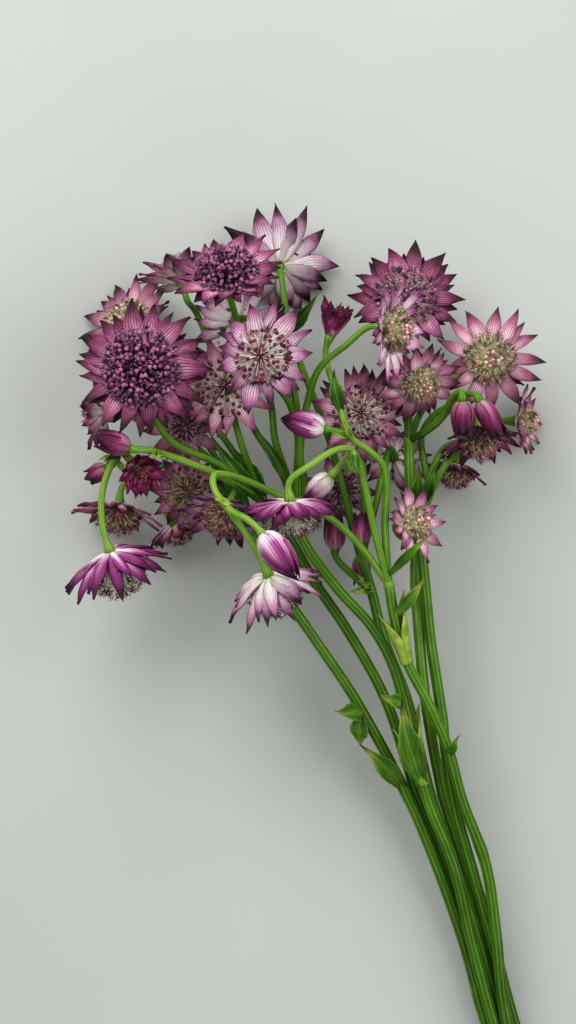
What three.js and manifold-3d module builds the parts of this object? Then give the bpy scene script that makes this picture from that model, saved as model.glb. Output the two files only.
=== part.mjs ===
// A cut bunch of astrantia lying on a flat surface, in millimetres.
// +Y runs from the cut ends to the flowers, +X to the right and +Z up from the surface at Z = 0.
import * as THREE from "three";
import { mergeVertices } from "three/addons/utils/BufferGeometryUtils.js";
import Module from "manifold-3d";

const wasm = await Module();
wasm.setup();

// Driving dimensions
const PICTURE_UNITS_PER_MM = 3;
const PICTURE_MIDDLE = [339.65, 772.63];
const STEM_RADIUS = 2.05;
const STALK_RADIUS = 1.15;
const BRACT_THICKNESS = 0.7;
const SEAT_GAP = 0.3;
const HUB_RADIUS = 2.2;
const NECK_LENGTH = 6;
const BUD_NECK_LENGTH = 3;

// Shares of a head's bract length
const FOOT_SHARE = 0.3;
const VALLEY_SHARE = 0.6;
const SHOULDER_SHARE = 0.68;
const TIP_SHARE = 0.97;
const TIP_SPREAD = 0.07;
const DOME_RADIUS_SHARE = 0.56;
const DOME_HEIGHT_SHARE = 0.46;
const FLORET_BUMP_SHARE = 0.045;

// Closed buds, leaves, and how finely the stems are divided
const BUD_SPOKES = 8;
const BUD_FOOT_RADIUS = 1.6;
const LEAF_ROWS = 6;
const LEAF_HALF_THICKNESS = 0.55;
const LEAF_BOW_SHARE = 0.12;
const LEAF_NOTCH_SHARE = 0.72;
const STEM_SIDES = 6;
const STEM_RING_SPACING = 27;
const STALK_SIDES = 5;
const STALK_RING_SPACING = 12;
const SHEATH_SIDES = 8;

// Colours of the plant
const COLOURS = {
  plum: 0x6e2a5c,
  rose: 0xa8668e,
  blush: 0xd0a4bd,
  magenta: 0x8c2470,
  pale: 0xd9c3cf,
  maroon: 0x4a1430,
  florets: 0x59224d,
  palegreen: 0xaeb98a,
  stem: 0x4f8a2f,
  paleStem: 0x7fae45,
};

// Open heads: place of the hub on the picture plane and its height, facing, bract length, cup angle,
// number of bracts, colours, and whether the florets are a body of their own.
const HEADS = [
  {
    name: "a", hub: [229, 286, 60], facing: [-0.12, 0.76, 0.62],
    length: 21, cup: 16, bracts: 13, ruff: "plum", dome: "florets",
  },
  {
    name: "e", hub: [144, 371, 60], facing: [-0.1, 0.1, 0.98],
    length: 24, cup: 8, bracts: 14, ruff: "plum", dome: "florets",
  },
  {
    name: "f", hub: [226, 385, 48], facing: [0.05, -0.25, 0.96],
    length: 19, cup: 8, bracts: 13, ruff: "rose", dome: "florets",
  },
  {
    name: "g", hub: [258, 357, 65], facing: [0.45, -0.1, 0.88],
    length: 20, cup: 15, bracts: 13, ruff: "blush", dome: "florets",
  },
  {
    name: "q", hub: [110, 550, 48], facing: [0.31, -0.9, -0.28],
    length: 22, cup: 26, bracts: 13, ruff: "magenta", dome: "maroon",
  },
  {
    name: "t", hub: [268, 574, 60], facing: [0.36, -0.82, -0.42],
    length: 20, cup: 28, bracts: 13, ruff: "pale", dome: "florets",
  },
  {
    name: "v", hub: [290, 500, 62], facing: [0.05, -0.96, -0.22],
    length: 18, cup: 16, bracts: 13, ruff: "magenta", dome: "maroon",
  },
  {
    name: "y", hub: [408, 297, 24], facing: [0, 0.15, 0.98],
    length: 20, cup: 8, bracts: 14, ruff: "plum", dome: "florets",
  },
  {
    name: "z", hub: [384, 330, 60], facing: [0.85, -0.1, 0.5],
    length: 18, cup: 15, bracts: 13, ruff: "blush", dome: "palegreen",
  },
  {
    name: "aa", hub: [418, 379, 43], facing: [0.3, -0.5, 0.8],
    length: 15, cup: 10, bracts: 13, ruff: "rose", dome: "palegreen",
  },
  {
    name: "ab", hub: [490, 357, 32], facing: [0.1, -0.05, 0.99],
    length: 19, cup: 6, bracts: 13, ruff: "rose", dome: "palegreen",
  },
  {
    name: "af", hub: [360, 412, 36], facing: [0.1, -0.15, 0.97],
    length: 18, cup: 8, bracts: 13, ruff: "rose", dome: "florets",
  },
  {
    name: "b", hub: [279, 262, 13.2], facing: [-0.1, 0.4, -0.87],
    length: 22, cup: 16, bracts: 12, ruff: "pale",
  },
  {
    name: "c", hub: [182, 282, 32], facing: [-0.2, 0.8, -0.3],
    length: 17, cup: 18, bracts: 12, ruff: "rose",
  },
  {
    name: "d", hub: [128, 322, 9.9], facing: [-0.5, 0.5, 0.7],
    length: 19, cup: 10, bracts: 13, ruff: "rose",
  },
  {
    name: "i", hub: [236, 322, 42], facing: [0.1, -0.2, -0.97],
    length: 17, cup: 10, bracts: 10, ruff: "pale",
  },
  {
    name: "j", hub: [185, 425, 34], facing: [0, -0.3, 0.9],
    length: 15, cup: 12, bracts: 10, ruff: "rose",
  },
  {
    name: "k", hub: [105, 411, 30], facing: [-0.7, 0.1, -0.3],
    length: 14, cup: 12, bracts: 9, ruff: "rose",
  },
  {
    name: "o", hub: [116, 503, 13.8], facing: [-0.15, -0.9, 0.2],
    length: 17, cup: 18, bracts: 10, ruff: "rose",
  },
  {
    name: "p", hub: [171, 523, 10.6], facing: [0.4, -0.75, -0.2],
    length: 12, cup: 20, bracts: 9, ruff: "plum",
  },
  {
    name: "r", hub: [228, 506, 42], facing: [-0.3, -0.75, 0.5],
    length: 17, cup: 22, bracts: 10, ruff: "blush",
  },
  {
    name: "s", hub: [188, 490, 25], facing: [-0.3, -0.2, 0.93],
    length: 15, cup: 8, bracts: 10, ruff: "rose",
  },
  {
    name: "ac", hub: [520, 419, 9.9], facing: [0.95, 0, 0.3],
    length: 14, cup: 22, bracts: 10, ruff: "rose",
  },
  {
    name: "ad", hub: [480, 429, 34], facing: [0.1, -0.9, 0.4],
    length: 16, cup: 24, bracts: 12, ruff: "plum",
  },
  {
    name: "ae", hub: [461, 462, 11.6], facing: [-0.2, -0.9, 0.1],
    length: 13, cup: 20, bracts: 10, ruff: "plum",
  },
  {
    name: "ag", hub: [395, 456, 18], facing: [0.2, -0.5, -0.8],
    length: 14, cup: 12, bracts: 9, ruff: "rose",
  },
  {
    name: "ah", hub: [344, 487, 15], facing: [0, -0.3, 0.9],
    length: 14, cup: 12, bracts: 9, ruff: "rose",
  },
  {
    name: "ai", hub: [409, 524, 40], facing: [0.7, 0.1, 0.65],
    length: 14, cup: 15, bracts: 10, ruff: "rose",
  },
  {
    name: "m", hub: [138, 468, 58], facing: [0.25, -0.35, 0.9],
    length: 12, cup: 50, bracts: 10, ruff: "maroon",
  },
  {
    name: "x", hub: [330, 336, 50], facing: [0.25, 0.9, 0.3],
    length: 12, cup: 62, bracts: 10, ruff: "maroon",
  },
];

// Closed buds: base and tip on the picture plane with heights, and thickness.
const BUDS = [
  { name: "h", base: [323, 429, 56], tip: [282, 419, 58], width: 9, colour: "magenta" },
  { name: "l", base: [130, 448, 59], tip: [98, 438, 62], width: 8, colour: "maroon" },
  { name: "n", base: [106, 468, 44], tip: [88, 478, 42], width: 6, colour: "maroon" },
  { name: "u", base: [264, 535, 76], tip: [297, 575, 82], width: 10, colour: "blush" },
  { name: "w", base: [330, 476, 47], tip: [305, 500, 45], width: 7, colour: "blush" },
  { name: "ad", base: [461, 402, 54], tip: [463, 436, 53], width: 8, colour: "maroon" },
  { name: "ae", base: [479, 402, 50], tip: [500, 437, 51], width: 7, colour: "maroon" },
  { name: "aj", base: [336, 549, 24], tip: [334, 516, 26], width: 7, colour: "maroon" },
  { name: "ak", base: [362, 543, 36], tip: [361, 513, 36], width: 6, colour: "maroon" },
  { name: "al", base: [363, 556, 14], tip: [363, 585, 12], width: 6, colour: "maroon" },
];

// Leafy stems: the main stem from its cut end to its last node, the branches (from a joint, which is the
// end of the main stem unless it is given, by way of bends, to a head or bud), leaves (root, tip, width)
// and the sheaths that clasp the stem.
const STEMS = [
  {
    name: "left",
    colour: "stem",
    path: [
      [582, 1338, 5.9], [540, 1200, 6.4], [487.5, 1024, 9.6], [467, 950, 12.5], [439, 871, 16],
      [409, 800, 19], [355, 700, 24], [325, 655, 26], [296, 613, 27], [270, 576, 27],
    ],
    branches: [
      { to: "r", bends: [[254, 530, 23], [238, 482, 26]] },
      { to: "s", bends: [[245, 510, 22], [222, 480, 19]] },
      { to: "o", bends: [[240, 510, 20], [195, 470, 17], [140, 468, 11]] },
      { to: "p", bends: [[242, 512, 17], [188, 484, 14]] },
      { to: "j", bends: [[240, 500, 22], [200, 435, 20]] },
      { to: "k", bends: [[205, 455, 20], [150, 425, 28]] },
    ],
    leaves: [
      { root: [362, 712, 24], tip: [339, 722, 27], width: 8 },
      { root: [364, 717, 23], tip: [354, 748, 22], width: 8 },
      { root: [406, 794, 19.5], tip: [368, 742, 25], width: 8 },
    ],
    sheaths: [],
  },
  {
    name: "second",
    colour: "stem",
    path: [
      [590, 1345, 1.5], [572, 1285, 1.5], [547.2, 1200, 2.3], [494.7, 1024, 5.4], [474, 950, 8],
      [450, 871, 12.5], [420, 800, 16], [386, 700, 22], [345, 627, 26], [315, 583, 27],
      [290, 540, 27], [262, 500, 31],
    ],
    branches: [
      { to: "e", bends: [[220, 465, 44], [170, 440, 47], [150, 405, 50]] },
      { to: "d", bends: [[225, 440, 22], [150, 350, 6]] },
      {
        to: "q",
        bends: [
          [212, 472, 48], [195, 465, 50], [145.5, 450, 50], [120, 453, 51], [109, 472, 52],
          [102.5, 497, 52],
        ],
      },
      { to: "bud_l", from: [160, 454, 50], bends: [[150, 450, 55]] },
      { to: "m", from: [124, 453, 51], bends: [] },
      { to: "bud_n", from: [117, 458, 51], bends: [[114, 461, 48]] },
      { to: "f", bends: [[240, 440, 40]] },
    ],
    leaves: [
      { root: [266, 506, 30.4], tip: [203, 438, 42], width: 7 },
      { root: [266, 506, 30.4], tip: [242, 446, 29], width: 7 },
      { root: [121, 453, 51], tip: [104, 458, 56], width: 4 },
    ],
    sheaths: [],
  },
  {
    name: "front",
    colour: "stem",
    path: [
      [586.7, 1330, 10], [547.2, 1200, 10.5], [494.7, 1024, 13.8], [475, 950, 17], [456, 871, 22],
      [428, 800, 26], [404, 700, 31], [392, 662, 33], [372, 627, 35], [341, 593, 36], [311, 554, 34],
      [298, 530, 33],
    ],
    branches: [
      { to: "a", bends: [[288, 480, 36], [275, 440, 42], [270, 400, 42], [245, 345, 48]] },
      { to: "g", bends: [[300, 480, 36], [298, 440, 44], [290, 405, 49], [272, 382, 57]] },
      { to: "c", bends: [[285, 480, 34], [255, 430, 30], [225, 380, 24], [195, 310, 28]] },
      { to: "z", bends: [[305, 485, 36], [300, 455, 46], [308, 400, 50], [320, 368, 54], [345, 347, 58]] },
      { to: "i", bends: [[297, 480, 36], [298, 430, 44], [290, 375, 51], [262, 325, 52]] },
    ],
    leaves: [
      { root: [289, 484, 35.5], tip: [259, 424, 46], width: 5 },
      { root: [424, 786, 27], tip: [390, 705, 38], width: 11 },
      { root: [404, 703, 31], tip: [379, 703, 37], width: 6 },
    ],
    sheaths: [{ from: [424.5, 788, 26.7], to: [408, 720, 30], radius: 3.1 }],
  },
  {
    name: "arc",
    colour: "stem",
    path: [
      [607.3, 1350, 10], [561.7, 1200, 10.6], [509.3, 1024, 14], [500, 943, 17.8], [489, 871, 22],
      [463, 800, 28], [450, 752, 31], [427, 700, 35], [408, 664, 39], [395, 620, 42], [389, 585, 44],
    ],
    branches: [
      {
        to: "t",
        bends: [
          [361, 547, 46], [330, 518, 42], [305, 507, 40], [278, 495, 41], [250, 482, 48],
          [228, 475, 56], [215, 475, 61], [214, 485, 64], [220, 498, 66], [243, 528, 66],
        ],
      },
      { to: "bud_u", from: [220, 498, 66], bends: [[232, 511, 69], [248, 519, 74]] },
      { to: "v", bends: [[374, 530, 50], [361, 474, 56], [352, 451, 59], [337, 450, 62], [310, 466, 66]] },
      { to: "bud_w", from: [353, 455, 59], bends: [[350, 455, 55]] },
      { to: "x", bends: [[385, 530, 47], [384, 468, 52], [370, 452, 54], [350, 437, 54], [338, 400, 52]] },
      { to: "bud_h", from: [350, 437, 54], bends: [[345, 434, 56]] },
    ],
    leaves: [
      { root: [388, 576, 44.5], tip: [429, 529, 54], width: 4 },
      { root: [394, 616, 42.2], tip: [429, 581, 46], width: 5 },
      { root: [451, 757, 30.8], tip: [456, 735, 36], width: 4 },
      { root: [354, 452, 58.5], tip: [354, 478, 62], width: 4 },
      { root: [341, 412, 52.5], tip: [327, 372, 56], width: 6 },
    ],
    sheaths: [{ from: [408, 664, 39], to: [392, 604, 43], radius: 3.1 }],
  },
  {
    name: "right",
    colour: "stem",
    path: [
      [610.3, 1336, 6], [569, 1200, 6.6], [516.5, 1024, 9.9], [497, 950, 13], [474, 871, 18.5],
      [455, 800, 23], [441, 700, 27], [432, 640, 28], [423, 555, 30], [412, 491, 30], [410, 440, 30],
    ],
    branches: [
      { to: "aa", bends: [[410, 415, 33]] },
      { to: "ab", bends: [[430, 400, 24]] },
      { to: "y", bends: [[406, 360, 20]] },
      { to: "bud_ad", bends: [[428, 430, 36], [441, 419, 40], [452, 398, 49]] },
      { to: "bud_ae", bends: [[428, 430, 36], [441, 419, 40], [462, 396, 47]] },
    ],
    leaves: [
      { root: [414, 508, 30], tip: [426, 466, 38], width: 6 },
    ],
    sheaths: [],
  },
  {
    name: "thin",
    colour: "paleStem",
    path: [
      [601.6, 1332, 1.5], [587, 1285, 1.5], [561.5, 1200, 2.3], [509.2, 1024, 5.5], [489, 950, 8.3],
      [468, 871, 13], [446, 800, 17], [427, 700, 25], [421, 640, 26], [417, 580, 24], [418, 540, 22],
    ],
    branches: [
      { to: "ad", bends: [[430, 490, 26], [424, 432, 24], [448, 406, 26]] },
      { to: "ac", bends: [[430, 500, 26], [446, 466, 29], [480, 430, 16]] },
      { to: "ae", bends: [[427, 490, 26], [444, 450, 27]] },
      { to: "ai", bends: [[400, 535, 32]] },
    ],
    leaves: [
      { root: [428, 500, 26.5], tip: [432, 462, 34], width: 5 },
    ],
    sheaths: [],
  },
  {
    name: "back",
    colour: "stem",
    path: [
      [597.7, 1342, 6], [554.5, 1200, 6.4], [502, 1024, 9.6], [482, 950, 12.5], [457, 871, 17],
      [433, 800, 20], [408, 700, 23], [385, 640, 24], [372, 590, 24], [362, 560, 25],
    ],
    branches: [
      { to: "b", bends: [[330, 440, 26], [290, 330, 24]] },
      { to: "af", bends: [[365, 500, 32], [362, 450, 28]] },
      { to: "ag", bends: [[378, 500, 28]] },
      { to: "ah", bends: [[352, 522, 10]] },
      { to: "bud_aj", from: [372, 592, 24], bends: [] },
      { to: "bud_ak", from: [371, 588, 24], bends: [] },
      { to: "bud_al", bends: [[361, 545, 20]] },
    ],
    leaves: [
      { root: [287, 330, 24], tip: [322, 298, 32], width: 6 },
    ],
    sheaths: [],
  },
];

// Size of the block that presses the underside flat, and the slant of the cut ends.
const SURFACE_BLOCK_WIDTH = 900;
const SURFACE_BLOCK_DEPTH = 60;
const CUT_SLANT = 0.6;
const CUT_BLOCK_WIDTH = 18;

// Points on the picture plane with a height become places in millimetres.
function place([across, down, height]) {
  const x = (across - PICTURE_MIDDLE[0]) / PICTURE_UNITS_PER_MM;
  const y = (PICTURE_MIDDLE[1] - down) / PICTURE_UNITS_PER_MM;
  return new THREE.Vector3(x, y, height);
}

// A repeatable draw between -1 and 1 from two whole numbers.
function draw(first, second) {
  const wave = Math.sin(first * 12.9898 + second * 78.233) * 43758.5453;
  return 2 * (wave - Math.floor(wave)) - 1;
}

function nameNumber(name) {
  return [...name].reduce((sum, letter) => sum * 3 + letter.charCodeAt(0), 0);
}

function toSolid(geometry) {
  const bare = geometry.clone();
  bare.deleteAttribute("normal");
  bare.deleteAttribute("uv");
  const merged = mergeVertices(bare, 1e-3);
  const index = merged.index.array;
  const kept = [];
  for (let i = 0; i < index.length; i += 3) {
    const [p, q, r] = [index[i], index[i + 1], index[i + 2]];
    if (p !== q && q !== r && r !== p) {
      kept.push(p, q, r);
    }
  }
  const vertProperties = Float32Array.from(merged.attributes.position.array);
  const triVerts = Uint32Array.from(kept);
  return new wasm.Manifold(new wasm.Mesh({ numProp: 3, vertProperties, triVerts }));
}

function toGeometry(solid) {
  const mesh = solid.getMesh();
  const geometry = new THREE.BufferGeometry();
  geometry.setAttribute("position", new THREE.BufferAttribute(Float32Array.from(mesh.vertProperties), 3));
  geometry.setIndex(new THREE.BufferAttribute(Uint32Array.from(mesh.triVerts), 1));
  geometry.computeVertexNormals();
  return geometry;
}

// A turned body whose rings are then pushed into tips, valleys and florets. Each ring is a function of
// the spoke number that gives the distance from the axis and the height.
function ringBody(rings, spokes, bottomHeight, topHeight) {
  const profile = [new THREE.Vector2(0, bottomHeight)];
  rings.forEach((ring, row) => profile.push(new THREE.Vector2(1, row)));
  profile.push(new THREE.Vector2(0, topHeight));
  const geometry = new THREE.LatheGeometry(profile, spokes);
  const position = geometry.attributes.position;
  const rows = profile.length;
  for (let spoke = 0; spoke <= spokes; spoke += 1) {
    const angle = (2 * Math.PI * (spoke % spokes)) / spokes;
    rings.forEach((ring, row) => {
      const [reach, height] = ring(spoke % spokes);
      const vertex = spoke * rows + row + 1;
      position.setXYZ(vertex, reach * Math.cos(angle), reach * Math.sin(angle), height);
    });
    position.setXYZ(spoke * rows, 0, 0, bottomHeight);
    position.setXYZ(spoke * rows + rows - 1, 0, 0, topHeight);
  }
  return geometry;
}

// Turns a body made along +Z so that it faces a direction, and moves its foot to a place.
function aim(geometry, facing, foot) {
  const axis = new THREE.Vector3(...facing).normalize();
  const turn = new THREE.Quaternion().setFromUnitVectors(new THREE.Vector3(0, 0, 1), axis);
  geometry.applyQuaternion(turn);
  geometry.translate(foot.x, foot.y, foot.z);
  return geometry;
}

// The rings of one head, from its flat hub out under the bracts, over them and up the floret dome.
function headRings(head) {
  const seed = nameNumber(head.name);
  const length = head.length;
  const rise = Math.sin(THREE.MathUtils.degToRad(head.cup));
  const run = Math.cos(THREE.MathUtils.degToRad(head.cup));
  const isTip = (spoke) => spoke % 2 === 0;
  const layer = (spoke) => (spoke % 4 === 0 ? 0.05 : -0.03) * length;
  const tipReach = (spoke) => length * (TIP_SHARE + TIP_SPREAD * draw(seed, spoke));
  const tipHeight = (spoke) => tipReach(spoke) * rise + layer(spoke) + 0.04 * length * draw(seed + 7, spoke);
  const valleyReach = VALLEY_SHARE * length;
  const rimReach = (spoke) => (isTip(spoke) ? tipReach(spoke) * run : valleyReach * run);
  const rimHeight = (spoke) => (isTip(spoke) ? tipHeight(spoke) : valleyReach * rise);
  const shoulder = SHOULDER_SHARE * length;
  const underReach = (spoke) => (isTip(spoke) ? shoulder * run : 0.8 * valleyReach * run);
  const underHeight = (spoke) => (isTip(spoke) ? shoulder * rise * 0.93 : 0.8 * valleyReach * rise * 0.9);
  const footReach = FOOT_SHARE * length;
  const footHeight = footReach * rise + BRACT_THICKNESS + 0.4;
  const domeReach = DOME_RADIUS_SHARE * length * run ** 3;
  const domeHeight = DOME_HEIGHT_SHARE * length;
  const bump = (spoke, row) => FLORET_BUMP_SHARE * length * ((spoke + row) % 2 === 0 ? 1 : -0.6);
  return {
    hub: () => [HUB_RADIUS, 0],
    shoulder: (spoke) => [underReach(spoke), underHeight(spoke)],
    rim: [
      (spoke) => [rimReach(spoke), rimHeight(spoke)],
      (spoke) => [rimReach(spoke) - 0.1, rimHeight(spoke) + BRACT_THICKNESS],
    ],
    foot: () => [footReach * run, footHeight],
    dome: [
      (spoke) => [domeReach + bump(spoke, 0), footHeight + 0.3 * domeHeight],
      (spoke) => [0.84 * domeReach + bump(spoke, 1), footHeight + 0.68 * domeHeight],
      (spoke) => [0.46 * domeReach, footHeight + 0.95 * domeHeight + bump(spoke, 0)],
    ],
    footReach: footReach * run,
    footHeight,
    top: footHeight + domeHeight,
  };
}

function headSolids(head) {
  const rings = headRings(head);
  const spokes = 2 * head.bracts;
  const hub = place(head.hub);
  if (!head.dome) {
    const outline = [rings.hub, ...rings.rim, rings.foot, ...rings.dome.slice(0, 2)];
    const whole = ringBody(outline, spokes, 0, rings.top);
    return { head: toSolid(aim(whole, head.facing, hub)) };
  }
  const underside = [rings.hub, rings.shoulder, ...rings.rim, rings.foot];
  const ruff = ringBody(underside, spokes, 0, rings.footHeight - 0.2);
  const domeFoot = () => [0.9 * rings.footReach, rings.footHeight + SEAT_GAP];
  const dome = ringBody([domeFoot, ...rings.dome], spokes, rings.footHeight + SEAT_GAP, rings.top);
  return {
    ruff: toSolid(aim(ruff, head.facing, hub)),
    florets: toSolid(aim(dome, head.facing, hub)),
  };
}

// A bud of overlapping bracts: a ribbed body with a blunt base and a pointed tip.
function budSolid(bud) {
  const base = place(bud.base);
  const along = place(bud.tip).sub(base);
  const length = along.length();
  const half = bud.width / 2;
  const rib = (spoke) => (spoke % 2 === 0 ? 1.06 : 0.86);
  const rings = [
    () => [BUD_FOOT_RADIUS, 0],
    (spoke) => [half * rib(spoke), 0.3 * length],
    (spoke) => [0.9 * half * rib(spoke + 1), 0.58 * length],
    (spoke) => [0.42 * half * rib(spoke), (0.82 + 0.05 * draw(nameNumber(bud.name), spoke)) * length],
  ];
  return toSolid(aim(ringBody(rings, BUD_SPOKES, 0, length), along.toArray(), base));
}

// A tube of even thickness along a smooth line through hand-set points.
function tube(points, radius, sides, spacing) {
  const line = new THREE.CatmullRomCurve3(points, false, "centripetal");
  const outline = new THREE.Shape();
  for (let side = 0; side < sides; side += 1) {
    const angle = (2 * Math.PI * side) / sides;
    const corner = [radius * Math.cos(angle), radius * Math.sin(angle)];
    if (side === 0) {
      outline.moveTo(...corner);
    } else {
      outline.lineTo(...corner);
    }
  }
  const steps = Math.max(4, Math.round(line.getLength() / spacing));
  return new THREE.ExtrudeGeometry(outline, { extrudePath: line, steps, bevelEnabled: false });
}

const holders = new Map();
HEADS.forEach((head) => {
  const axis = new THREE.Vector3(...head.facing).normalize();
  holders.set(head.name, { foot: place(head.hub), axis });
});
BUDS.forEach((bud) => {
  const base = place(bud.base);
  holders.set(`bud_${bud.name}`, { foot: base, axis: place(bud.tip).sub(base).normalize() });
});

// A stalk leaves its stem, follows its bends and meets the hub of its head squarely.
function stalkPoints(stem, branch) {
  const end = stem.path.length - 1;
  const joint = branch.from ?? stem.path[end];
  const { foot, axis } = holders.get(branch.to);
  const neckLength = branch.to.startsWith("bud") ? BUD_NECK_LENGTH : NECK_LENGTH;
  const neck = foot.clone().addScaledVector(axis, -neckLength);
  const seat = foot.clone().addScaledVector(axis, -SEAT_GAP);
  return [place(joint), ...branch.bends.map(place), neck, seat];
}

// A pointed leaf with a cut edge: a thin four-sided body whose width swells and narrows along a bow.
function leafSolid(leaf) {
  const root = place(leaf.root);
  const tip = place(leaf.tip);
  const along = tip.clone().sub(root);
  const length = along.length();
  const halfWidth = (share) => (leaf.width / 2) * Math.sin(Math.PI * (0.12 + 0.85 * share)) ** 0.8;
  const profile = [new THREE.Vector2(0, 0)];
  for (let row = 1; row < LEAF_ROWS; row += 1) {
    profile.push(new THREE.Vector2(1, (length * row) / LEAF_ROWS));
  }
  profile.push(new THREE.Vector2(0, length));
  const geometry = new THREE.LatheGeometry(profile, 4);
  const position = geometry.attributes.position;
  for (let spoke = 0; spoke <= 4; spoke += 1) {
    const angle = (Math.PI * spoke) / 2;
    for (let row = 0; row <= LEAF_ROWS; row += 1) {
      const share = row / LEAF_ROWS;
      const onAxis = row === 0 || row === LEAF_ROWS;
      const tooth = row % 2 === 0 ? LEAF_NOTCH_SHARE : 1;
      const wide = onAxis ? 0 : halfWidth(share) * tooth * Math.cos(angle);
      const thick = onAxis ? 0 : LEAF_HALF_THICKNESS * Math.sin(angle);
      const bow = LEAF_BOW_SHARE * length * Math.sin(Math.PI * share);
      position.setXYZ(spoke * (LEAF_ROWS + 1) + row, wide, thick + bow, length * share);
    }
  }
  const forward = along.normalize();
  const up = new THREE.Vector3(0, 0, 1);
  const side = new THREE.Vector3().crossVectors(up, forward).normalize();
  const lift = new THREE.Vector3().crossVectors(forward, side);
  geometry.applyMatrix4(new THREE.Matrix4().makeBasis(side, lift, forward));
  geometry.translate(root.x, root.y, root.z);
  return toSolid(geometry);
}

// Cuts the lower end of a stem off at a slant.
function slantCut(body, path) {
  const end = place(path[0]);
  const inward = place(path[1]).sub(end).normalize();
  const block = new THREE.BoxGeometry(CUT_BLOCK_WIDTH, CUT_BLOCK_WIDTH, CUT_BLOCK_WIDTH);
  block.translate(0, 0, -CUT_BLOCK_WIDTH / 2);
  block.rotateX(CUT_SLANT);
  const middle = end.addScaledVector(inward, STEM_RADIUS);
  return body.subtract(toSolid(aim(block, inward.toArray(), middle)));
}

function stemSolid(stem) {
  const stemLine = stem.path.map(place);
  let body = toSolid(tube(stemLine, STEM_RADIUS, STEM_SIDES, STEM_RING_SPACING));
  body = slantCut(body, stem.path);
  for (const branch of stem.branches) {
    const stalk = tube(stalkPoints(stem, branch), STALK_RADIUS, STALK_SIDES, STALK_RING_SPACING);
    body = body.add(toSolid(stalk));
  }
  for (const leaf of stem.leaves) {
    body = body.add(leafSolid(leaf));
  }
  for (const sheath of stem.sheaths) {
    const sleeve = tube([place(sheath.from), place(sheath.to)], sheath.radius, SHEATH_SIDES, STEM_RING_SPACING);
    body = body.add(toSolid(sleeve));
  }
  return body;
}

// Everything below the surface that the bunch lies on is pressed flat.
const surfaceShape = new THREE.BoxGeometry(SURFACE_BLOCK_WIDTH, SURFACE_BLOCK_WIDTH, SURFACE_BLOCK_DEPTH);
const surfaceBlock = toSolid(surfaceShape.translate(0, 0, -SURFACE_BLOCK_DEPTH / 2));
const group = new THREE.Group();

function addNode(name, solid, colour) {
  const pressed = solid.subtract(surfaceBlock);
  const material = new THREE.MeshStandardMaterial({ color: COLOURS[colour], roughness: 0.6, metalness: 0 });
  const mesh = new THREE.Mesh(toGeometry(pressed), material);
  mesh.name = name;
  group.add(mesh);
}

for (const head of HEADS) {
  const solids = headSolids(head);
  if (head.dome) {
    addNode(`ruff_${head.name}`, solids.ruff, head.ruff);
    addNode(`florets_${head.name}`, solids.florets, head.dome);
  } else {
    addNode(`head_${head.name}`, solids.head, head.ruff);
  }
}
for (const bud of BUDS) {
  addNode(`bud_${bud.name}`, budSolid(bud), bud.colour);
}
for (const stem of STEMS) {
  addNode(`stem_${stem.name}`, stemSolid(stem), stem.colour);
}

export default group;
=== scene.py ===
import math
import bpy
import numpy as np
from mathutils import Matrix, Vector


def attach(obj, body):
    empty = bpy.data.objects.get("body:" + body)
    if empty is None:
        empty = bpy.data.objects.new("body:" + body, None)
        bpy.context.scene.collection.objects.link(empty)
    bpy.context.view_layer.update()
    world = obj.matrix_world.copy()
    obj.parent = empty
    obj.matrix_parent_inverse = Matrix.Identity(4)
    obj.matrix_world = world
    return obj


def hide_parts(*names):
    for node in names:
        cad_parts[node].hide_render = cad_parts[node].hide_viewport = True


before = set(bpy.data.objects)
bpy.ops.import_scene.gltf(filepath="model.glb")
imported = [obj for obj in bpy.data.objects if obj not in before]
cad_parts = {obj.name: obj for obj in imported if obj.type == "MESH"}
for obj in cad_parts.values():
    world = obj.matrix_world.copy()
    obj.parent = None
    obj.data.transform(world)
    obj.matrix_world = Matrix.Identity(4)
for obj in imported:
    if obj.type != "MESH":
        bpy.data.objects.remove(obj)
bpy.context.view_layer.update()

# Sizes are in millimetres, angles in radians and shares are parts of one, unless a name or a comment says
# otherwise. A place is across and down on the picture plane, in thirds of a millimetre, and a height.
MM = 0.001
PICTURE_UNITS_PER_MM = 3
PICTURE_MIDDLE = (339.65, 772.63)
PICTURE_SIZE = (576, 1024)
PRESSED_FLAT = 0.03
GOLDEN_ANGLE = math.pi * (3 - math.sqrt(5))

# Stems and their side stalks
STEM_RADIUS = 2.05
STEM_TOP_RADIUS = 1.75
STEM_RIBS = 8
STEM_SIDES = 24
STEM_RING_SPACING = 3.2
RIB_DEPTH = 0.05
CUT_SLANT = 0.6
STEM_JOINTS = (0.14, 0.42, 0.66)
JOINT_SWELL = 0.25
JOINT_SWELL_RINGS = 1.1
JOINT_RADIUS = 1.95
JOINT_SHIFT = 0.04
STALK_RADIUS = 1.12
STALK_RIBS = 6
STALK_SIDES = 12
STALK_RING_SPACING = 2.2
STALK_FOOT_SWELL = 1.12
STALK_TAPER = 0.2
STALK_JOINT_SWELL = 1.35
HEAD_NECK_SWELL = 1.75
BUD_NECK_SWELL = 1.3
STALK_TENON = 0.4
NECK_LENGTH = 6
BUD_NECK_LENGTH = 3

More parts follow.
